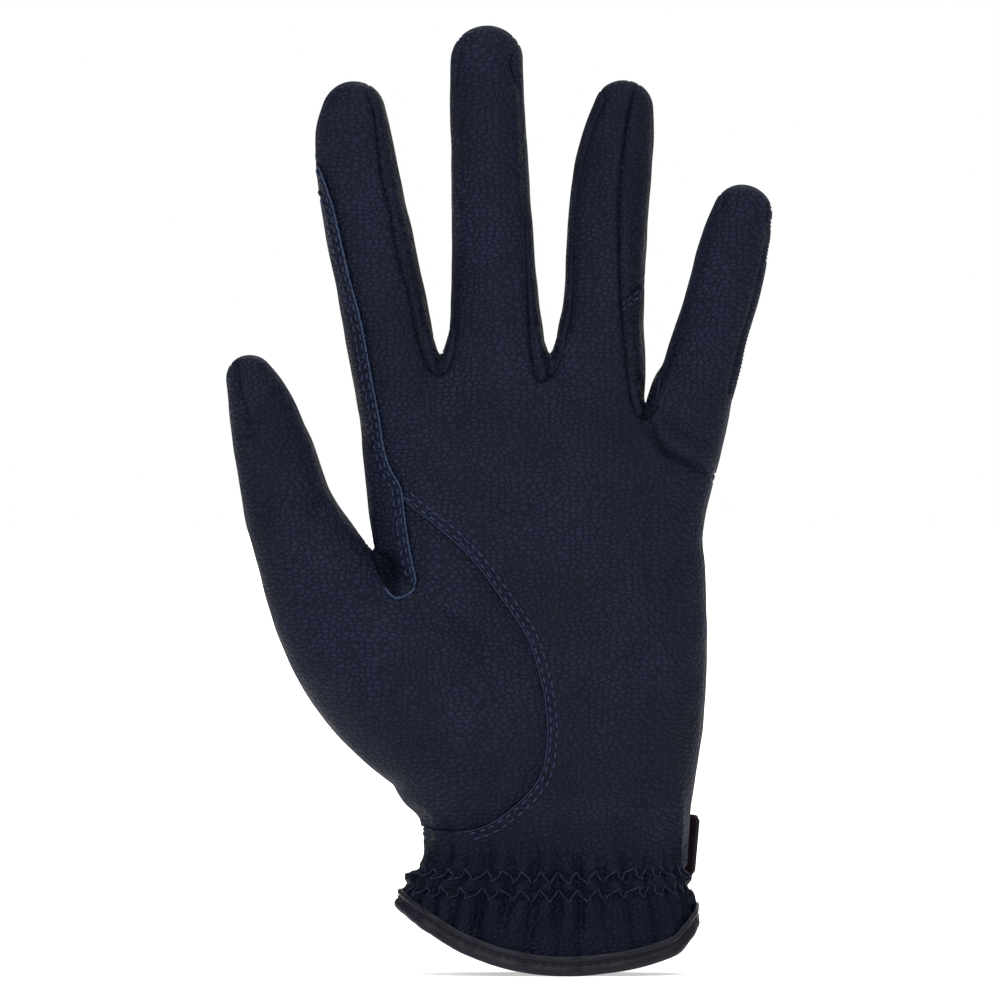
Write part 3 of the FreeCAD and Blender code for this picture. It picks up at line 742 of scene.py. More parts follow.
class Form:
    """The glove's whole surface, front and back, with its relief and its panels."""

    def __init__(self, sheet):
        self.sheet = sheet
        p = sheet.points
        inside, front, back = form(p[:, 0], p[:, 1])
        self.inside = np.concatenate([inside, inside])
        count = len(p)
        shared = np.zeros(count, bool)
        for v in sheet.on_outline:
            shared[v] = hem_inside(p[v, 0], p[v, 1]) > 0.35
        front[shared] = back[shared] = 0
        front -= self.dimples(p, DIMPLES_FRONT) * np.clip(front / 6, 0, 1)
        back -= self.dimples(p, DIMPLES_BACK) * np.clip(back / 6, 0, 1)
        back_index = np.where(shared, np.arange(count), np.arange(count) + count)
        base = np.zeros((2 * count, 3))
        base[:count] = np.column_stack([p[:, 0], -front, p[:, 1]])
        base[count:] = np.column_stack([p[:, 0], back, p[:, 1]])
        self.faces = np.vstack([sheet.faces, back_index[sheet.faces][:, ::-1]])
        self.kind = np.concatenate([sheet.kinds["front"], sheet.kinds["back"]])
        self.stretch = np.concatenate([sheet.stretch, sheet.stretch])
        self.flat = np.vstack([p, p])
        self.is_back = np.arange(2 * count) >= count
        self.base = base
        self.normal = self.normals(base)
        self.measure_lines()
        self.base = base + self.normal * self.common_relief()[:, None]
        self.normal = self.normals(self.base)

    @staticmethod
    def dimples(p, table):
        """Total depth of the dimples at these points."""
        total = np.zeros(len(p))
        for (x, z), (rx, rz), depth in table:
            total += depth * np.exp(-((p[:, 0] - x) / rx) ** 2 - ((p[:, 1] - z) / rz) ** 2)
        return total

    def normals(self, points):
        """Outward unit normals at the points."""
        a, b, c = (points[self.faces[:, k]] for k in range(3))
        each = np.cross(b - a, c - a)
        total = np.zeros_like(points)
        for k in range(3):
            np.add.at(total, self.faces[:, k], each)
        length = np.linalg.norm(total, axis=1)
        return total / np.where(length > 0, length, 1)[:, None]

    def measure_lines(self):
        """How far every point lies from each seam and from the fold of the web."""
        half = len(self.flat) // 2
        self.seam = {}
        for name, line in self.sheet.lines.items():
            if not name.startswith("cut"):
                self.seam[name] = tuple(np.tile(v, 2) for v in NearLine(line).measure(self.flat[:half]))
        self.fold_gap, self.fold_run = (np.tile(v, 2) for v in
                                        NearLine(WEB_FOLD).measure(self.flat[:half]))

    def pocket(self):
        """Depth of the dark pocket beside the fold between thumb and index finger."""
        window = ease(self.fold_run / 3.0) * (1 - ease((self.fold_run - 10) / 6))
        return np.where(self.is_back, 0, POCKET_DEPTH * bump(self.fold_gap, POCKET_WIDTH) * window)

    def common_relief(self):
        """Relief that every panel has, whichever side of a seam it lies on."""
        front = ~self.is_back
        relief = 0.16 * waves(self.base, 26, 3) + 0.07 * waves(self.base, 9, 4)
        for name in ("index_middle", "middle_ring", "ring_little"):
            gap, run = self.seam[name]
            tip = ease((self.inside - 0.2) / 3.0)
            relief -= (0.9 * bump(gap, 0.6) - 0.3 * bump(gap - 1.9, 1.0)) * tip
            relief += 0.14 * np.sin(run * 1.7 + 1.3 * np.sin(run * 0.37)) * bump(gap - 1.6, 1.4) * tip
        gap, run = self.seam["thumb_ball"]
        relief += front * 0.10 * np.sin(run * 2.1 + np.sin(run * 0.6)) * bump(gap, 2.6)
        gap, run = self.seam["side_panel"]
        relief += front * 0.12 * np.sin(run * 1.9 + 1.4 * np.sin(run * 0.45)) * bump(gap, 2.2)
        for points, width, depth in CREASES:
            line = NearLine(points)
            gap, run = line.measure(self.flat)
            fade = ease(run / 4) * ease((line.run[-1] - run) / 4) if width > 0.7 else 1.0
            relief -= front * depth * bump(gap, width) * fade
        for points in BACK_POINTS:
            gap, _ = NearLine(points).measure(self.flat)
            relief += self.is_back * (1.0 * bump(gap, 0.75) - 0.3 * bump(gap - 2.2, 1.1))
        edge = np.array([v in self.sheet.on_outline for v in range(len(self.flat) // 2)])
        edge = np.concatenate([edge, edge]) & ~self.is_back
        plain = np.zeros(len(self.flat), bool)
        seamed = np.isin(self.kind, ("palm", "thumb_ball", "side_panel"))
        plain[self.faces[seamed].ravel()] = True
        relief -= 0.25 * (edge & plain & (self.base[:, 2] > 6))
        return relief + cuff_gathers(self.base)

    def panel_relief(self, kind):
        """Relief of one panel's own points: it lies on top of its neighbour, or under it."""
        front = ~self.is_back
        relief = np.zeros(len(self.flat))
        arc = front * bump(self.seam["thumb_ball"][0], 3.2) * ease((self.inside - 0.2) / 4)
        gap, run = self.seam["side_panel"]
        strip = front * bump(gap, 3.0) * (1 - ease((run - 112) / 6)) * ease((self.inside - 0.2) / 2)
        if kind == "palm":
            away = self.seam["thumb_ball"][0]
            rows = sum(bump(away - inset, ROW_WIDTH) for inset in THUMB_ROWS)
            relief += front * (0.8 * arc - 0.30 * rows) * (self.flat[:, 1] < 109) - 0.25 * strip
        if kind == "thumb_ball":
            relief -= 0.25 * arc + 0.2 * strip
        if kind == "side_panel":
            rows = front * sum(bump(gap - inset, ROW_WIDTH) for inset in SIDE_ROWS) * (strip > 0.4)
            relief += 0.75 * strip - 0.28 * rows - self.pocket()
        return relief

    def chosen(self, kinds, back):
        """Which faces are of these kinds, in front or behind or, where back is None, on both sides."""
        chosen = np.isin(self.kind, kinds)
        if back is not None:
            chosen &= (np.arange(len(self.kind)) >= len(self.kind) // 2) == back
        return chosen

    def panel(self, kinds, stretch, back):
        """Faces of one piece."""
        return np.flatnonzero(self.chosen(kinds, back) & (self.stretch == stretch))

    def seam_edges(self, kinds, back):
        """Directed edges where the panel ends in a seam, rather than in a cut between two stretches."""
        faces = self.faces[self.chosen(kinds, back)]
        edges = {(int(f[k]), int(f[(k + 1) % 3])) for f in faces for k in range(3)}
        return {(a, b) for a, b in edges if (b, a) not in edges}


def mesh_object(name, points, faces, material):
    """A mesh object from points in millimetres."""
    mesh = bpy.data.meshes.new(name)
    mesh.from_pydata((np.asarray(points) * MM).tolist(), [], [list(map(int, f)) for f in faces])
    mesh.validate()
    mesh.polygons.foreach_set("use_smooth", [True] * len(mesh.polygons))
    mesh.materials.append(material)
    obj = bpy.data.objects.new(name, mesh)
    bpy.context.scene.collection.objects.link(obj)
    return obj


def attach(obj, stretch):
    """Makes a piece move with the palm, or, for a stretch of a digit, bakes its transform into its mesh."""
    if "_" not in stretch:
        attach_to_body(obj, stretch)
        return
    name, part = stretch.split("_")
    digit = DIGITS[name]
    if part == "lower":
        digit.level(digit.zone[0])
        digit.level(digit.zone[1])
        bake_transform(obj)
    else:
        digit.level(digit.zone[3])
        digit.level(digit.zone[4])
        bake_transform(obj)


def panel_object(name, kinds, stretch, material, replaced, back=None):
    """One sewn piece of leather, with its thickness turned in along its seams."""
    chosen = surface.panel(kinds, stretch, back)
    faces = surface.faces[chosen]
    points = surface.base + surface.normal * surface.panel_relief(surface.kind[chosen[0]])[:, None]
    used = np.unique(faces)
    renumber = {int(v): k for k, v in enumerate(used)}
    local = [[renumber[int(v)] for v in f] for f in faces]
    edges = dict.fromkeys((a, b) for f in local for a, b in zip(f, f[1:] + f[:1]))
    family = surface.seam_edges(kinds, back)
    rim = [(a, b) for a, b in edges if (b, a) not in edges and (int(used[a]), int(used[b])) in family]
    out = points[used]
    normal = surface.normal[used]
    depth = np.full(len(out), PANEL_THICK) + surface.pocket()[used] * ("thumb_ball" in kinds)
    inner = {}
    extra = []
    for a, b in rim:
        for v in (a, b):
            if v not in inner:
                inner[v] = len(out) + len(extra)
                extra.append(out[v] - normal[v] * depth[v])
    skirts = [[b, a, inner[a], inner[b]] for a, b in rim]
    if extra:
        out = np.vstack([out, extra])
    obj = mesh_object(name, out, local + skirts, material)
    attach(obj, stretch)
    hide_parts(*replaced)


# ---- materials ----------------------------------------------------------------------------------
class Nodes:
    """Short hand for building a material's node tree."""

    def __init__(self, name):
        self.material = bpy.data.materials.new(name)
        self.material.use_nodes = True
        self.tree = self.material.node_tree
        self.shader = self.tree.nodes["Principled BSDF"]
        self.place = self.add("ShaderNodeTexCoord").outputs["Object"]

    def add(self, kind, **settings):
        """A new node with these settings."""
        node = self.tree.nodes.new(kind)
        for key, value in settings.items():
            setattr(node, key, value)
        return node

    def link(self, a, b):
        """Joins an output to an input."""
        self.tree.links.new(a, b)

    def scaled(self, x, y, z):
        """The place, scaled along each axis."""
        node = self.add("ShaderNodeMapping")
        node.inputs["Scale"].default_value = (x, y, z)
        self.link(self.place, node.inputs["Vector"])
        return node.outputs["Vector"]

    def noise(self, scale, detail=3.0, vector=None):
        """Cloudy noise."""
        node = self.add("ShaderNodeTexNoise")
        node.inputs["Scale"].default_value = scale
        node.inputs["Detail"].default_value = detail
        self.link(vector or self.place, node.inputs["Vector"])
        return node.outputs["Fac"]

    def voronoi(self, scale, feature, vector=None, randomness=1.0):
        """Distance in a pattern of cells."""
        node = self.add("ShaderNodeTexVoronoi", feature=feature)
        node.inputs["Scale"].default_value = scale
        node.inputs["Randomness"].default_value = randomness
        self.link(vector or self.place, node.inputs["Vector"])
        return node.outputs["Distance"]

    def remap(self, value, low, high, to_low, to_high):
        """A value moved smoothly from one range to another."""
        node = self.add("ShaderNodeMapRange", interpolation_type="SMOOTHSTEP")
        for key, v in (("From Min", low), ("From Max", high), ("To Min", to_low), ("To Max", to_high)):
            node.inputs[key].default_value = v
        self.link(value, node.inputs["Value"])
        return node.outputs["Result"]

    def math(self, operation, a, b):
        """Two values joined by an operation."""
        node = self.add("ShaderNodeMath", operation=operation)
        for socket, v in zip(node.inputs, (a, b)):
            if isinstance(v, (int, float)):
                socket.default_value = v
            else:
                self.link(v, socket)
        return node.outputs["Value"]

    def mix(self, factor, a, b):
        """Two colours mixed."""
        node = self.add("ShaderNodeMix", data_type="RGBA")
        self.link(factor, node.inputs["Factor"])
        for key, v in (("A", a), ("B", b)):
            socket = next(s for s in node.inputs if s.name == key and s.type == "RGBA")
            if isinstance(v, tuple):
                socket.default_value = (*v, 1)
            else:
                self.link(v, socket)
        return next(s for s in node.outputs if s.type == "RGBA")

    def bump(self, height, distance, strength=1.0, normal=None):
        """Normal of a surface with that height."""
        node = self.add("ShaderNodeBump")
        node.inputs["Distance"].default_value = distance
        node.inputs["Strength"].default_value = strength
        self.link(height, node.inputs["Height"])
        if normal:
            self.link(normal, node.inputs["Normal"])
        return node.outputs["Normal"]

    def finish(self, color, roughness, normal, **sockets):
        """Joins everything to the shader and gives the material."""
        self.link(color, self.shader.inputs["Base Color"])
        self.link(roughness, self.shader.inputs["Roughness"])
        self.link(normal, self.shader.inputs["Normal"])
        for key, value in sockets.items():
            self.shader.inputs[key.replace("_", " ")].default_value = value
        return self.material


def toned(color, share):
    """A colour made darker or lighter."""
    return tuple(c * share for c in color)


def grain(n, cell):
    """Small domed scales with sunk grooves between them: groove mask and height."""
    place = n.scaled(1.0, 1.0, 1.45)
    wavy = n.add("ShaderNodeVectorMath", operation="ADD")
    shift = n.add("ShaderNodeVectorMath", operation="SCALE")
    sway = n.add("ShaderNodeTexNoise")
    sway.inputs["Scale"].default_value = 60.0
    n.link(n.place, sway.inputs["Vector"])
    n.link(sway.outputs["Color"], shift.inputs[0])
    shift.inputs["Scale"].default_value = 4.0 * MM
    n.link(place, wavy.inputs[0])
    n.link(shift.outputs["Vector"], wavy.inputs[1])
    place = wavy.outputs["Vector"]
    groove = n.remap(n.voronoi(1 / (cell * MM), "DISTANCE_TO_EDGE", place, 0.8), 0.0, 0.19, 0.0, 1.0)
    dome = n.remap(n.voronoi(1 / (cell * MM), "F1", place, 0.8), 0.1, 0.75, 1.0, 0.0)
    fine = n.voronoi(1 / (cell * 0.28 * MM), "F1", place)
    height = n.math("ADD", n.math("MULTIPLY", groove, 0.45), n.math("MULTIPLY", dome, 0.6))
    height = n.math("ADD", height, n.math("MULTIPLY", fine, 0.18))
    height = n.math("ADD", height, n.math("MULTIPLY", n.noise(420.0, 3.0), 0.35))
    return groove, height


def wear(n, body, color):
    """Rubbed ridges, painted shade in the hollows, and painted shade that makes the cuff darker and bluer.
    """
    ridge = n.add("ShaderNodeNewGeometry").outputs["Pointiness"]
    rubbed = tuple(min(1, c * 1.5 + 0.002) for c in color)
    body = n.mix(n.remap(ridge, 0.52, 0.60, 0.0, 0.7), body, rubbed)
    # Painted shade: concave places, found by pointiness, are darkened towards a third of the colour.
    body = n.mix(n.remap(ridge, 0.40, 0.485, 0.85, 0.0), body, toned(color, 0.35))
    # Painted shade: from about CUFF_TOP down, the colour is drawn towards a darker and bluer copy of itself.
    apart = n.add("ShaderNodeSeparateXYZ")
    n.link(n.place, apart.inputs["Vector"])
    low = n.remap(apart.outputs["Z"], CUFF_TOP * 0.55 * MM, CUFF_TOP * 1.5 * MM, 1.0, 0.0)
    cuff = tuple(c * k for c, k in zip(color, CUFF_PAINTED_SHADE))
    return n.mix(n.math("MULTIPLY", low, 0.75), body, cuff)


def leather(name, color):
    """Synthetic leather with a grain of scales, soft colour changes, rubbed high spots, and painted shade in
    the hollows and on the cuff.
    """
    n = Nodes(name)
    groove, height = grain(n, GRAIN_CELL)
    normal = n.bump(height, GRAIN_RELIEF * MM)
    patch = n.remap(n.noise(34.0, 5.0), 0.3, 0.7, 0.0, 1.0)
    body = n.mix(patch, toned(color, 0.78), toned(color, 1.28))
    body = wear(n, n.mix(groove, toned(color, 0.46), body), color)
    shine = n.remap(n.noise(90.0, 3.0), 0.3, 0.7, *GRAIN_ROUGHNESS)
    return n.finish(body, shine, normal, Specular_IOR_Level=0.075)


def binding_leather(name, color):
    """Smoother leather with fine lengthwise creases."""
    n = Nodes(name)
    creases = n.noise(420.0, 4.0, n.scaled(0.5, 0.5, 1.6))
    pores = n.voronoi(1500.0, "F1")
    height = n.math("ADD", creases, n.math("MULTIPLY", pores, 0.3))
    body = n.mix(n.remap(n.noise(55.0), 0.3, 0.7, 0.0, 1.0), toned(color, 0.75),
                 toned(color, 1.25))
    ridge = n.add("ShaderNodeNewGeometry").outputs["Pointiness"]
    body = n.mix(n.remap(ridge, 0.53, 0.62, 0.0, 0.7), body, toned(color, 2.0))
    shine = n.remap(creases, 0.3, 0.7, 0.42, 0.58)
    return n.finish(body, shine, n.bump(height, 0.12 * MM), Specular_IOR_Level=0.14)


def thread(name, color):
    """Twisted sewing thread."""
    n = Nodes(name)
    twist = n.add("ShaderNodeTexWave", wave_type="BANDS", bands_direction="DIAGONAL")
    twist.inputs["Scale"].default_value = 900.0
    twist.inputs["Distortion"].default_value = 1.5
    n.link(n.place, twist.inputs["Vector"])
    body = n.mix(twist.outputs["Fac"], toned(color, 0.6), toned(color, 1.3))
    shine = n.remap(n.noise(700.0), 0.3, 0.7, 0.42, 0.6)
    return n.finish(body, shine, n.bump(twist.outputs["Fac"], 0.05 * MM), Specular_IOR_Level=0.14)


def knit(name, color, rib=1 / 1.1):
    """Fine stretch knit or woven tape: ribs crossed by rows of stitches."""
    n = Nodes(name)
    waves_x = n.add("ShaderNodeTexWave", bands_direction="X")
    waves_z = n.add("ShaderNodeTexWave", bands_direction="Z")
    for node, scale in ((waves_x, 320.0 * rib), (waves_z, 520.0 * rib)):
        node.inputs["Scale"].default_value = scale
        node.inputs["Distortion"].default_value = 0.6
        n.link(n.place, node.inputs["Vector"])
    weave = n.math("MULTIPLY", waves_x.outputs["Fac"], waves_z.outputs["Fac"])
    body = n.mix(weave, toned(color, 0.55), toned(color, 1.35))
    shine = n.remap(n.noise(200.0), 0.3, 0.7, 0.75, 0.92)
    return n.finish(body, shine, n.bump(weave, 0.2 * MM), Specular_IOR_Level=0.08)


def pile(name, color, scale):
    """Hook or loop tape: a bed of small tufts."""
    n = Nodes(name)
    tufts = n.voronoi(scale, "F1")
    lift = n.remap(tufts, 0.0, 0.6, 1.0, 0.0)
    body = n.mix(lift, toned(color, 0.5), toned(color, 1.6))
    shine = n.remap(n.noise(300.0), 0.3, 0.7, 0.7, 0.9)
    return n.finish(body, shine, n.bump(lift, 0.35 * MM), Specular_IOR_Level=0.08)


PANEL = leather("panel_grain", NAVY)
SIDE = leather("side_grain", toned(NAVY, 0.84))
BACK = leather("back_grain", NAVY)
BINDING = binding_leather("binding_grain", (0.0058, 0.0060, 0.0110))
TAB = binding_leather("tab_grain", (0.0095, 0.0042, 0.0080))
THREAD = thread("thread", (0.017, 0.024, 0.056))
THREAD_FINE = thread("elastic_thread", (0.0088, 0.013, 0.030))
THREAD_DARK = thread("dark_thread", (0.012, 0.013, 0.020))
CUT_EDGE = thread("cut_edge_fibre", (0.023, 0.036, 0.072))
CUT_EDGE_DARK = thread("palm_edge_fibre", (0.013, 0.019, 0.042))
ELASTIC = knit("elastic_webbing", (0.018, 0.019, 0.026), 2.0)
KNIT = knit("stretch_knit", (0.012, 0.013, 0.022))
LINING = knit("lining_knit", (0.016, 0.018, 0.030), 1.6)
LOOPS = pile("loop_pile", (0.014, 0.015, 0.024), 1400.0)
HOOKS = pile("hook_bed", (0.010, 0.010, 0.013), 900.0)

# ---- panels -------------------------------------------------------------------------------------
sheet = Sheet()
surface = Form(sheet)

def make_panels():
    """All the sewn pieces of leather."""
    panel_object("palm_leather", ["palm"], "palm", PANEL, ["palm_panel"], False)
    panel_object("thumb_ball_leather", ["thumb_ball"], "palm", PANEL, ["thumb_ball_panel"], False)
    panel_object("index_root_side_leather", ["side_panel"], "palm", PANEL, ["index_root_side_panel"],
                 False)
    panel_object("back_leather", ["back"], "palm", BACK, ["back_panel"], True)
    for crotch in ("index_middle", "middle_ring", "ring_little"):
        panel_object(f"{crotch}_gusset_leather", [crotch], "palm", SIDE, [f"gusset_{crotch}"])
    for name in DIGITS:
        front = "thumb_ball" if name == "thumb" else "palm"
        for part in ("lower", "upper"):
            stretch = f"{name}_{part}"
            panel_object(f"{stretch}_front_leather", [front], stretch, PANEL, [f"{stretch}_front"],
                         False)
            panel_object(f"{stretch}_back_leather", ["back"], stretch, BACK, [f"{stretch}_back"], True)
    for part in ("lower", "upper"):
        panel_object(f"index_{part}_side_leather", ["side_panel"], f"index_{part}", PANEL,
                     [f"index_{part}_side_panel"], False)
        for (seam, name), node in FOURCHETTE_NODES.items():
            stretch = f"{name}_{part}"
            panel_object(f"{stretch}_{node}_leather", [seam], stretch, SIDE, [f"{stretch}_{node}"])


make_panels()


# ---- thread, edges and tapes --------------------------------------------------------------------
def sweep_faces(rings, sides):
    """Faces round a row of rings, with its ends closed."""
    quads = []
    for i in range(rings - 1):
        a, b = i * sides, (i + 1) * sides
        quads += [[a + j, a + (j + 1) % sides, b + (j + 1) % sides, b + j] for j in range(sides)]
    quads.append(list(range(sides))[::-1])
    quads.append([(rings - 1) * sides + j for j in range(sides)])
    return quads


def slab_faces(columns, rows):
    """Faces of two layers of a grid, the second under the first, closed round their edges."""
    faces = []
    size = columns * rows
    for i in range(columns - 1):
        for j in range(rows - 1):
            a = i * rows + j
            faces.append([a, a + 1, a + rows + 1, a + rows])
            faces.append([size + a, size + a + rows, size + a + rows + 1, size + a + 1])
    ring = [i * rows for i in range(columns)]
    ring += [(columns - 1) * rows + j for j in range(1, rows)]
    ring += [i * rows + rows - 1 for i in range(columns - 2, -1, -1)]
    ring += list(range(rows - 2, 0, -1))
    return faces + [[a, b, size + b, size + a] for a, b in zip(ring, ring[1:] + ring[:1])]


def unit(vectors):
    """Vectors of length 1."""
    return vectors / np.linalg.norm(vectors, axis=-1, keepdims=True)


def sweep(path, out, profile):
    """Points of a profile (side, out) carried along a path; the profile runs from out towards side."""
    path = np.asarray(path, float)
    along = unit(np.gradient(path, axis=0))
    side = unit(np.cross(along, out))
    up = np.cross(side, along)
    profile = np.asarray(profile, float)
    if profile.ndim == 2:
        profile = np.broadcast_to(profile, (len(path), *profile.shape))
    points = path[:, None] + side[:, None] * profile[:, :, :1] + up[:, None] * profile[:, :, 1:]
    return points.reshape(-1, 3)


def swept_object(name, path, out, profile, material):
    """A mesh object from a profile carried along a path."""
    sides = np.shape(profile)[-2]
    return mesh_object(name, sweep(path, out, profile), sweep_faces(len(path), sides), material)


def circle(radius, sides=6):
    """Round profile."""
    angles = np.arange(sides) * 2 * math.pi / sides
    return np.column_stack([np.sin(angles), np.cos(angles)]) * radius


class Skin:
    """The finished leather of some panels, for laying thread, edges and tapes on."""

    def __init__(self, kinds):
        chosen = np.isin(surface.kind, kinds)
        points = surface.base + surface.normal * surface.panel_relief(kinds[0])[:, None]
        self.stretches = surface.stretch[chosen]
        self.tree = BVHTree.FromPolygons(points.tolist(), surface.faces[chosen].tolist())

    def hit(self, start, along):
        """Place, outward normal and stretch where a line meets the leather."""
        place, normal, index, _ = self.tree.ray_cast(Vector(start), Vector(along))
        if place is None or normal.dot(Vector(along)) > 0:
            return None
        return np.array(place), np.array(normal), self.stretches[index]

    def front(self, x, z):
        """The same, looking from the front."""
        return self.hit((x, -RAY_START, z), (0, 1, 0))

    def behind(self, x, z):
        """The same, looking from behind."""
        return self.hit((x, RAY_START, z), (0, -1, 0))

    def around(self, angle, z):
        """The same, looking straight in at the wrist from this angle round it."""
        way = (math.cos(angle), math.sin(angle))
        start = (WRIST_CENTRE + way[0] * RAY_START, way[1] * RAY_START, z)
        return self.hit(start, (-way[0], -way[1], 0))


def lay(hits, lift=0.0):
    """Path and normals from hits, or nothing if one of them missed."""
    if any(h is None for h in hits):
        return None
    each = np.array([h[1] for h in hits])
    normals = unit(each.mean(0, keepdims=True) + 0.7 * each)
    return np.array([h[0] for h in hits]) + normals * np.reshape(lift, (-1, 1)), normals


class Thread:
    """The stitches of one seam, collected by the stretch that they move with."""

    def __init__(self, name, material, radius):
        self.name, self.material, self.radius = name, material, radius
        self.found = {}

    def stitch(self, hits, rise=STITCH_RISE, girth=STITCH_GIRTH):
        """Adds one stitch through these hits."""
        laid = lay(hits, rise)
        if laid is None:
            return
        path, normals = laid
        profile = np.array([circle(self.radius * g) for g in girth])
        points, faces = self.found.setdefault(hits[len(hits) // 2][2], ([], []))
        first = sum(len(p) for p in points)
        points.append(sweep(path, normals, profile))
        faces += [[first + v for v in face] for face in sweep_faces(len(path), 6)]

    def row(self, look, line, pitch, share):
        """Stitches along a line in the front view, each taking up a share of the pitch."""
        line = resample(np.asarray(line), LINE_STEP)
        count = int((len(line) - 1) * LINE_STEP / pitch)
        for k in range(count):
            middle = (k + 0.5) * pitch
            jitter = RNG.normal(0, 0.05, 2)
            places = [line[min(len(line) - 1, int((middle + u * pitch * share) / LINE_STEP))] + jitter
                      for u in (-0.5, -0.28, 0.0, 0.28, 0.5)]
            self.stitch([look(x, z) for x, z in places])

    def build(self):
        """Makes one piece for each stretch."""
        for stretch, (points, faces) in self.found.items():
            obj = mesh_object(f"{self.name}_{stretch}", np.vstack(points), faces, self.material)
            attach(obj, str(stretch))


def clip(line, inside):
    """The longest run of points of a line for which inside() holds."""
    flags = [bool(inside(x, z)) for x, z in line]
    best, start = (0, 0), None
    for k, flag in enumerate(flags + [False]):
        if flag and start is None:
            start = k
        if not flag and start is not None:
            best = max(best, (start, k), key=lambda r: r[1] - r[0])
            start = None
    return line[best[0]:best[1]]


def edge_bead(name, look, line, radius, material, rough):
    """Raw cut edge of a panel that lies on top of its neighbour, as a thin uneven cord."""
    parts = {}
    for x, z in resample(np.asarray(line), 0.45):
        hit = look(x, z)
        if hit is not None:
            parts.setdefault(str(hit[2]), []).append(hit)
    for stretch, hits in parts.items():
        if len(hits) < 4:
            continue
        path, each = (np.array([h[k] for h in hits]) for k in (0, 1))
        normals = unit(each + each.mean(0))
        path = path + normals * (0.16 + RNG.normal(0, rough * 0.35, (len(path), 1)))
        profile = np.array([circle(radius * g) for g in RNG.uniform(1 - rough, 1 + rough, len(path))])
        obj = swept_object(f"{name}_{stretch}", path, normals, profile, material)
        attach(obj, stretch)


def side_and_thumb_stitching():
    """Double rows and raw edges of the side panel, the web and the ball of the thumb."""
    side, palm = Skin(["side_panel"]), Skin(["palm"])
    thumb, across = Skin(["thumb_ball"]), Skin(["side_panel", "palm", "thumb_ball"])
    edge = sheet.lines["side_panel"]
    thread = Thread("side_panel_thread", THREAD, SEAM_THREAD)
    upper = clip(edge, lambda x, z: z > 85.5 and x < -33 and form(np.array([x]), np.array([z]))[0][0] > 0.8)
    for inset in SIDE_ROWS:
        thread.row(side.front, offset(upper, -inset), SEAM_PITCH, SEAM_SHARE)
    thread.build()
    edge_bead("side_panel_raw_edge", across.front, offset(upper, -0.15), 0.24, CUT_EDGE, 0.35)
    fold = [p for p in edge if p[1] < 86.0 and p[0] > -41.5 or p[1] < 85.0]
    edge_bead("web_raw_edge", thumb.front, offset(np.array(fold), 0.3), 0.32, CUT_EDGE, 0.35)
    arc = sheet.lines["thumb_ball"]
    arc = clip(arc, lambda x, z: x > -37.2 and not (z < 40 and x < -21.5))
    thread = Thread("thumb_seam_thread", THREAD, SEAM_THREAD)
    for inset in THUMB_ROWS:
        thread.row(palm.front, offset(arc, inset), SEAM_PITCH, SEAM_SHARE)
    thread.build()
    edge_bead("palm_raw_edge", palm.front, offset(arc, 0.2), 0.16, CUT_EDGE_DARK, 0.25)


def ring_join_stitching():
    """Two short rows over the join in the ring finger's side strip."""
    strip = Skin(["ring_little"])
    thread = Thread("ring_join_thread", THREAD, 0.2)
    for drop in (0.9, 2.3):
        line = np.array(((17.9, 156.9 - drop), (23.2, 161.6 - drop)))
        thread.row(strip.front, line, 1.9, 0.62)
    thread.build()


def back_point_stitching():
    """A row on each side of the three raised lines."""
    back = Skin(["back"])
    thread = Thread("back_point_thread", THREAD, 0.2)
    for points in BACK_POINTS:
        line = curve(points, 0.25)
        for inset in (1.25, -1.25):
            thread.row(back.behind, offset(line, inset), 2.3, 0.62)
    thread.build()


def wrist_angles(count):
    """Angles round the wrist at even spacing along its girth."""
    dense = np.linspace(-math.pi, math.pi, 2001)
    wide, deep = WRIST_OVAL
    x, y = wide * np.cos(dense), deep * np.sin(dense)
    run = np.concatenate([[0], np.cumsum(np.hypot(np.diff(x), np.diff(y)))])
    at = np.interp(np.linspace(0, run[-1], count, endpoint=False), run, dense)
    return np.arctan2(deep * np.sin(at), wide * np.cos(at))


def zigzag_stitching():
    """The zigzag rows that hold the two elastics."""
    skin = Skin(["palm", "back"])
    for row, name in zip(ELASTIC_ROWS, ("upper", "lower")):
        thread = Thread(f"{name}_elastic_thread", THREAD_FINE, 0.23)
        angles = wrist_angles(2 * PLEATS)
        for k, (a, b) in enumerate(zip(angles, np.roll(angles, -1))):
            if b < a:
                b += 2 * math.pi
            hits = []
            for t in (0.04, 0.2, 0.35, 0.5, 0.65, 0.8, 0.96):
                angle = a + (b - a) * t
                x = WRIST_OVAL[0] * math.cos(angle) + WRIST_CENTRE
                z = row_height(row, x) + ZIGZAG * (2 * t - 1) * (-1) ** k
                hits.append(skin.around(angle, z))
            middle = hits[3]
            if middle is None or (middle[0][1] > 0 and SLIT_X[0] - 2.0 < middle[0][0] < SLIT_X[1] + 2.0):
                continue
            thread.stitch(hits, ZIGZAG_RISE, ZIGZAG_GIRTH)
        thread.build()


def smooth(values, times):
    """Each value drawn towards its neighbours that many times, the two ends apart."""
    for _ in range(times):
        inner = (values[:-2] + 2 * values[1:-1] + values[2:]) / 4
        values = np.concatenate([values[:1], inner, values[-1:]])
    return values


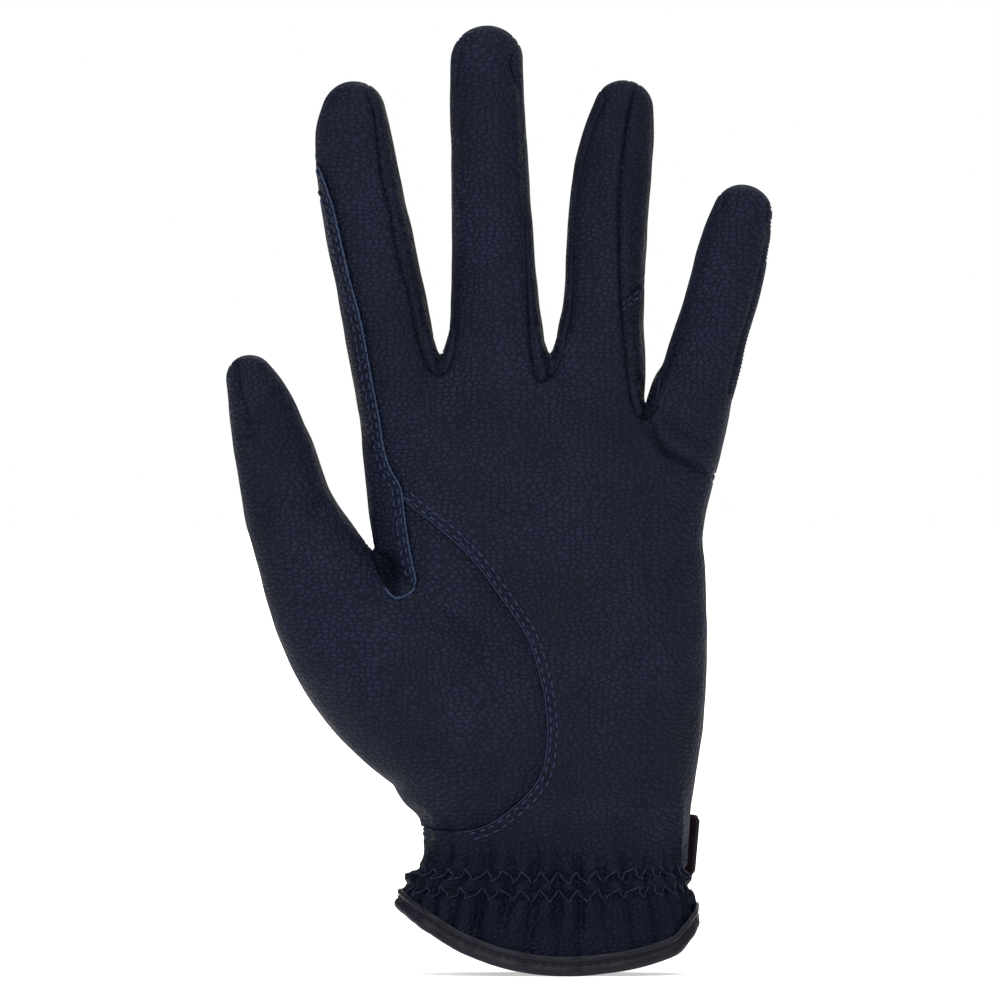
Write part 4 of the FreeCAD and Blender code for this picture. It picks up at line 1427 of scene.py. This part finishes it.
def hem_path():
    """The leather's lower edge from the slit's right side all the way round to its left side."""
    after = {}
    seen = set()
    for a, b, c in surface.faces.tolist():
        for edge in ((a, b), (b, c), (c, a)):
            seen.add(edge)
    for a, b in seen:
        if (b, a) not in seen:
            after[a] = b
    start = next(iter(after))
    loop, here = [start], after[start]
    while here != start:
        loop.append(here)
        here = after[here]
    points, normals = surface.base[loop], surface.normal[loop]
    in_slit = (points[:, 1] > 0) & (points[:, 0] > SLIT_X[0]) & (points[:, 0] < SLIT_X[1])
    shift = np.flatnonzero(in_slit)[0]
    order = np.roll(np.arange(len(loop)), -shift)
    order = order[~in_slit[order]]
    points, normals = points[order], normals[order]
    line = np.hstack([points, normals])
    run = run_along(points)
    line = rows_at(line, run, np.linspace(0, run[-1], int(run[-1] / HEM_STEP)))
    line[:, :3] = smooth(line[:, :3], HEM_SMOOTHING[0])
    line[:, 5] *= HEM_UPRIGHT
    line[:, 3:] = smooth(unit(line[:, 3:]), HEM_SMOOTHING[1])
    return line[:, :3], unit(line[:, 3:])


def hem_binding():
    """Rolled leather binding round the hem, open at the slit."""
    path, out = hem_path()
    along = unit(np.gradient(path, axis=0))
    side = unit(np.cross(along, out))
    rises = 1 if side[len(side) // 2][2] > 0 else -1
    section = np.array(BINDING_SECTION)
    profile = np.column_stack([section[:, 0] * rises, section[:, 1]])[::-rises]
    run = np.arange(len(path)) * HEM_STEP
    pucker = 1 + 0.05 * np.sin(run * 0.9 + 1.3 * np.sin(run * 0.21)) + 0.03 * np.sin(run * 2.3)
    rings = np.broadcast_to(profile, (len(path), *profile.shape)).copy()
    rings[:, :, 1] *= pucker[:, None]
    obj = swept_object("hem_binding_roll", path, out, rings, BINDING)
    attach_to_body(obj, "palm")
    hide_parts("hem_binding")
    hem_stitches(path, out, side * rises)


def hem_stitches(path, out, up):
    """Row of stitches in the groove of the binding."""
    line = path + up * HEM_GROOVE[0] + out * HEM_GROOVE[1]
    thread = Thread("hem_thread", THREAD_DARK, 0.2)
    run = run_along(line)
    for k in range(int(run[-1] / HEM_PITCH)):
        at = (k + 0.5) * HEM_PITCH + np.array((-0.32, -0.2, 0.0, 0.2, 0.32)) * HEM_PITCH
        places, normals = rows_at(line, run, at), rows_at(out, run, at)
        thread.stitch([(p, n, "palm") for p, n in zip(places, normals)])
    thread.build()


def lining():
    """Thin knit inside the palm, from the binding to the roots of the fingers."""
    chosen = (surface.stretch == "palm") & (surface.kind != "slit")
    faces = surface.faces[chosen][:, ::-1]
    used = np.unique(faces)
    renumber = np.full(len(surface.base), -1)
    renumber[used] = np.arange(len(used))
    depth = LINING_DEPTH + surface.pocket()[used]
    points = surface.base[used] - surface.normal[used] * depth[:, None]
    obj = mesh_object("lining", points, renumber[faces], LINING)
    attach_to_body(obj, "palm")


def inner_ring(heights, depth, gap):
    """Places and normals round the inside of the wrist, from one side of the slit to the other."""
    skin = Skin(["palm", "back"])
    wide, deep = WRIST_OVAL
    path, normals = [], []
    for angle in np.linspace(SLIT_ANGLE - gap, SLIT_ANGLE - 2 * math.pi + gap, RING_STEPS):
        hit = skin.around(angle, heights(wide * math.cos(angle)))
        if hit is None:
            continue
        flat = unit(np.array([math.cos(angle) / wide, math.sin(angle) / deep, 0.0]))
        path.append(hit[0] - flat * depth)
        normals.append(flat)
    return np.array(path), np.array(normals)


def elastic(name, row):
    """Gathered ribbon of elastic inside the wrist."""
    path, normals = inner_ring(lambda x: row_height(row, x), ELASTIC_DEPTH, ELASTIC_GAP)
    rib = np.linspace(-ELASTIC_HALF, ELASTIC_HALF, 9)
    upper = [(u, 0.25 + 0.12 * (k % 2)) for k, u in enumerate(rib)]
    lower = [(u, -0.25 - 0.12 * (k % 2)) for k, u in enumerate(rib)][::-1]
    profile = np.array(upper + lower)[::-1]
    obj = swept_object(f"{name}_ribbon", path, normals, profile, ELASTIC)
    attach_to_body(obj, "palm")
    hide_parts(name)


# ---- closure ------------------------------------------------------------------------------------
def wrist_point(x, lift):
    """Point and outward normal on the back of the wrist, straight beyond where the tab leaves it."""
    centre, a, b = WRIST[0], WRIST[1] + lift, WRIST[2] + lift
    u = min(x, TAB_LEAVES) - centre
    y = b * math.sqrt(1 - (u / a) ** 2)
    slope = -(b * b * u) / (a * a * y)
    if x > TAB_LEAVES:
        y += slope * (x - TAB_LEAVES)
    return np.array([x, y]), unit(np.array([-slope, 1.0]))


def rounded_rectangle(x0, x1, z0, z1, corner, corners):
    """Grid of (x, z) columns across a strip, with the corners of its chosen ends rounded."""
    columns = []
    for x in np.linspace(x0, x1, max(4, int((x1 - x0) / STRIP_STEP))):
        inset = 0.0
        for end, wanted in ((x - x0, corners[0]), (x1 - x, corners[1])):
            if wanted and end < corner:
                inset = max(inset, corner - math.sqrt(corner ** 2 - (corner - end) ** 2))
        columns.append([(x, z) for z in np.linspace(z0 + inset, z1 - inset, STRIP_ROWS)])
    return np.array(columns)


def strip(name, layer, xs, zs, material, slot, ride, replaced, corner=1.2, rise=None, corners=(True, True),
          slant=0.0):
    """A tape or tab with thickness that follows the back of the wrist."""
    grid = rounded_rectangle(*xs, *zs, corner, corners)
    columns, rows = grid.shape[:2]
    points = []
    for lift, outer in ((layer[1], True), (layer[0], False)):
        for i in range(columns):
            for j in range(rows):
                x, z = grid[i, j]
                x -= slant * (x - xs[0]) / (xs[1] - xs[0]) * (zs[1] - z) / (zs[1] - zs[0])
                place, normal = wrist_point(x, lift)
                edge = min(i, j, columns - 1 - i, rows - 1 - j)
                soft = -STRIP_SOFTENING if edge == 0 else 0.0
                bulge = rise(i / (columns - 1), j / (rows - 1), x, z) if rise and outer else 0.0
                shift = (soft if outer else -soft) + bulge
                points.append((place[0] + normal[0] * shift, place[1] + normal[1] * shift, z))
    obj = mesh_object(name, points, slab_faces(columns, rows), material)
    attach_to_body(obj, ride)
    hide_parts(replaced)


def tab_relief(u, v, x, z):
    """The tab is pressed down along its stitch line and slightly wavy."""
    from_edge = min(z - TAB_HEIGHT[0], TAB_HEIGHT[1] - z, TAB_X[1] - x)
    groove = -0.22 * math.exp(-((from_edge - TAB_MARGIN) / 0.45) ** 2)
    return groove + 0.08 * math.sin(0.5 * x + 0.3 * z)


def tab_stitches():
    """Rows of stitches round the tab, over its base and along its hinge."""
    thread = Thread("tab_thread", THREAD_DARK, 0.19)
    low, high, end = TAB_HEIGHT[0] + TAB_MARGIN, TAB_HEIGHT[1] - TAB_MARGIN, TAB_X[1] - TAB_MARGIN
    rim = resample(np.array(((7.0, low), (end, low), (end, high), (7.0, high))), LINE_STEP)
    stitch_on_wrist(thread, rim, TAB_LAYER[1] - 0.2, "closure")
    thread.build()
    thread = Thread("tab_base_thread", THREAD_DARK, 0.19)
    left, right = TAB_BASE_X[0] + 1.3, TAB_BASE_X[1] - 0.9
    rim = resample(np.array(((right, low), (left, low), (left, high), (right, high), (right, low))),
                   LINE_STEP)
    stitch_on_wrist(thread, rim, TAB_LAYER[1] - 0.02, "palm")
    thread.build()


def stitch_on_wrist(thread, line, lift, stretch, pitch=2.2):
    """Stitches along a line on the closure."""
    for k in range(int((len(line) - 1) * LINE_STEP / pitch)):
        hits = []
        for u in (-0.33, -0.2, 0.0, 0.2, 0.33):
            x, z = line[min(len(line) - 1, int((k + 0.5 + u) * pitch / LINE_STEP))]
            place, normal = wrist_point(x, lift)
            hits.append((np.array([place[0], place[1], z]), np.array([normal[0], normal[1], 0.0]), stretch))
        thread.stitch(hits)


def closure():
    """The tab's sewn end, its free end, and the two tapes that hold it."""
    strip("tab_leather_base", (LOOP_LAYER[0], TAB_LAYER[1]), TAB_BASE_X, TAB_HEIGHT, TAB, "tab_leather",
          "palm", "closure_tab_base", corners=(True, False))
    strip("loop_tape", LOOP_LAYER, LOOP_X, TAPE_HEIGHT, LOOPS, "loop_tape", "palm", "closure_loop_tape")
    strip("tab_leather_flap", TAB_LAYER, TAB_X, TAB_HEIGHT, TAB, "tab_leather", "closure", "closure_tab",
          corner=1.6, rise=tab_relief, corners=(False, True), slant=TAB_SLANT)
    hook_height = (TAPE_HEIGHT[0] + HOOK_INSET, TAPE_HEIGHT[1] - HOOK_INSET)
    strip("hook_tape", HOOK_LAYER, HOOK_X, hook_height, HOOKS, "hook_tape", "closure",
          "closure_hook_tape")
    tab_stitches()
    gusset()


def gusset():
    """Ribbed stretch knit behind the slit, from just above the hem to above the slit's top."""
    columns = np.linspace(SLIT_X[0] - KNIT_REACH, SLIT_X[1] + KNIT_REACH, 46)
    rows = np.linspace(hem_height(sum(SLIT_X) / 2) + 2.0, SLIT_TOP + 3.0, 60)
    skin = Skin(["back", "slit"])
    layers = ([], [])
    for x in columns:
        for z in rows:
            hit = skin.behind(x, z)
            y = hit[0][1] - KNIT_DEPTH + 0.16 * math.sin(x * 2 * math.pi / KNIT_RIB)
            layers[0].append((x, y, z))
            layers[1].append((x, y - KNIT_THICK, z))
    obj = mesh_object("slit_gusset_knit", layers[0] + layers[1], slab_faces(len(columns), len(rows)), KNIT)
    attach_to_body(obj, "palm")
    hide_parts("closure_gusset")


side_and_thumb_stitching()
ring_join_stitching()
back_point_stitching()
zigzag_stitching()
hem_binding()
lining()
elastic("wrist_elastic_upper", ELASTIC_ROWS[0])
elastic("wrist_elastic_lower", ELASTIC_ROWS[1])
closure()


# ---- camera, light and floor --------------------------------------------------------------------
def make_lights():
    """Soft suns, and a plain world that looks white and lights little."""
    for name, (way, strength, angle) in SUNS.items():
        data = bpy.data.lights.new(name, "SUN")
        data.energy = strength
        data.angle = math.radians(angle)
        light = bpy.data.objects.new(name, data)
        light.rotation_euler = Vector(way).to_track_quat("Z", "Y").to_euler()
        bpy.context.scene.collection.objects.link(light)
    world = bpy.data.worlds.new("studio")
    bpy.context.scene.world = world
    world.use_nodes = True
    nodes, links = world.node_tree.nodes, world.node_tree.links
    seen = nodes.new("ShaderNodeBackground")
    seen.inputs["Strength"].default_value = 1.0
    seen.inputs["Color"].default_value = (1, 1, 1, 1)
    lighting = nodes["Background"]
    lighting.inputs["Color"].default_value = (1, 1, 1, 1)
    lighting.inputs["Strength"].default_value = WORLD_LIGHT
    chooser = nodes.new("ShaderNodeMixShader")
    links.new(nodes.new("ShaderNodeLightPath").outputs["Is Camera Ray"], chooser.inputs["Fac"])
    links.new(lighting.outputs["Background"], chooser.inputs[1])
    links.new(seen.outputs["Background"], chooser.inputs[2])
    links.new(chooser.outputs["Shader"], nodes["World Output"].inputs["Surface"])


def make_floor():
    """Plain pale floor under the glove."""
    bpy.ops.mesh.primitive_circle_add(vertices=128, radius=FLOOR_RADIUS, fill_type="NGON",
                                      location=(0, 0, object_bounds()[0].z))
    floor = bpy.context.object
    floor.name = "floor"
    n = Nodes("pale_floor")
    body = n.mix(n.noise(3.0), (0.93, 0.93, 0.93), (0.96, 0.96, 0.96))
    rough = n.remap(n.noise(9.0), 0, 1, 0.85, 0.95)
    floor.data.materials.append(n.finish(body, rough, n.bump(n.noise(40.0), 0.0001),
                                         Emission_Color=(1, 1, 1, 1), Emission_Strength=FLOOR_GLOW))


def make_camera():
    """A long lens, straight in front of the palm."""
    camera = bpy.data.cameras.new("camera")
    camera.lens = LENS
    camera.sensor_width = SENSOR
    camera.clip_start = 0.05
    camera.clip_end = 200
    holder = bpy.data.objects.new("camera", camera)
    holder.location = (VIEW_CENTRE[0], -VIEW_WIDTH * LENS / SENSOR, VIEW_CENTRE[1])
    holder.rotation_euler = (math.pi / 2, 0, 0)
    bpy.context.scene.collection.objects.link(holder)
    bpy.context.scene.camera = holder
    bpy.context.scene.view_settings.view_transform = "Standard"


make_lights()
make_floor()
make_camera()
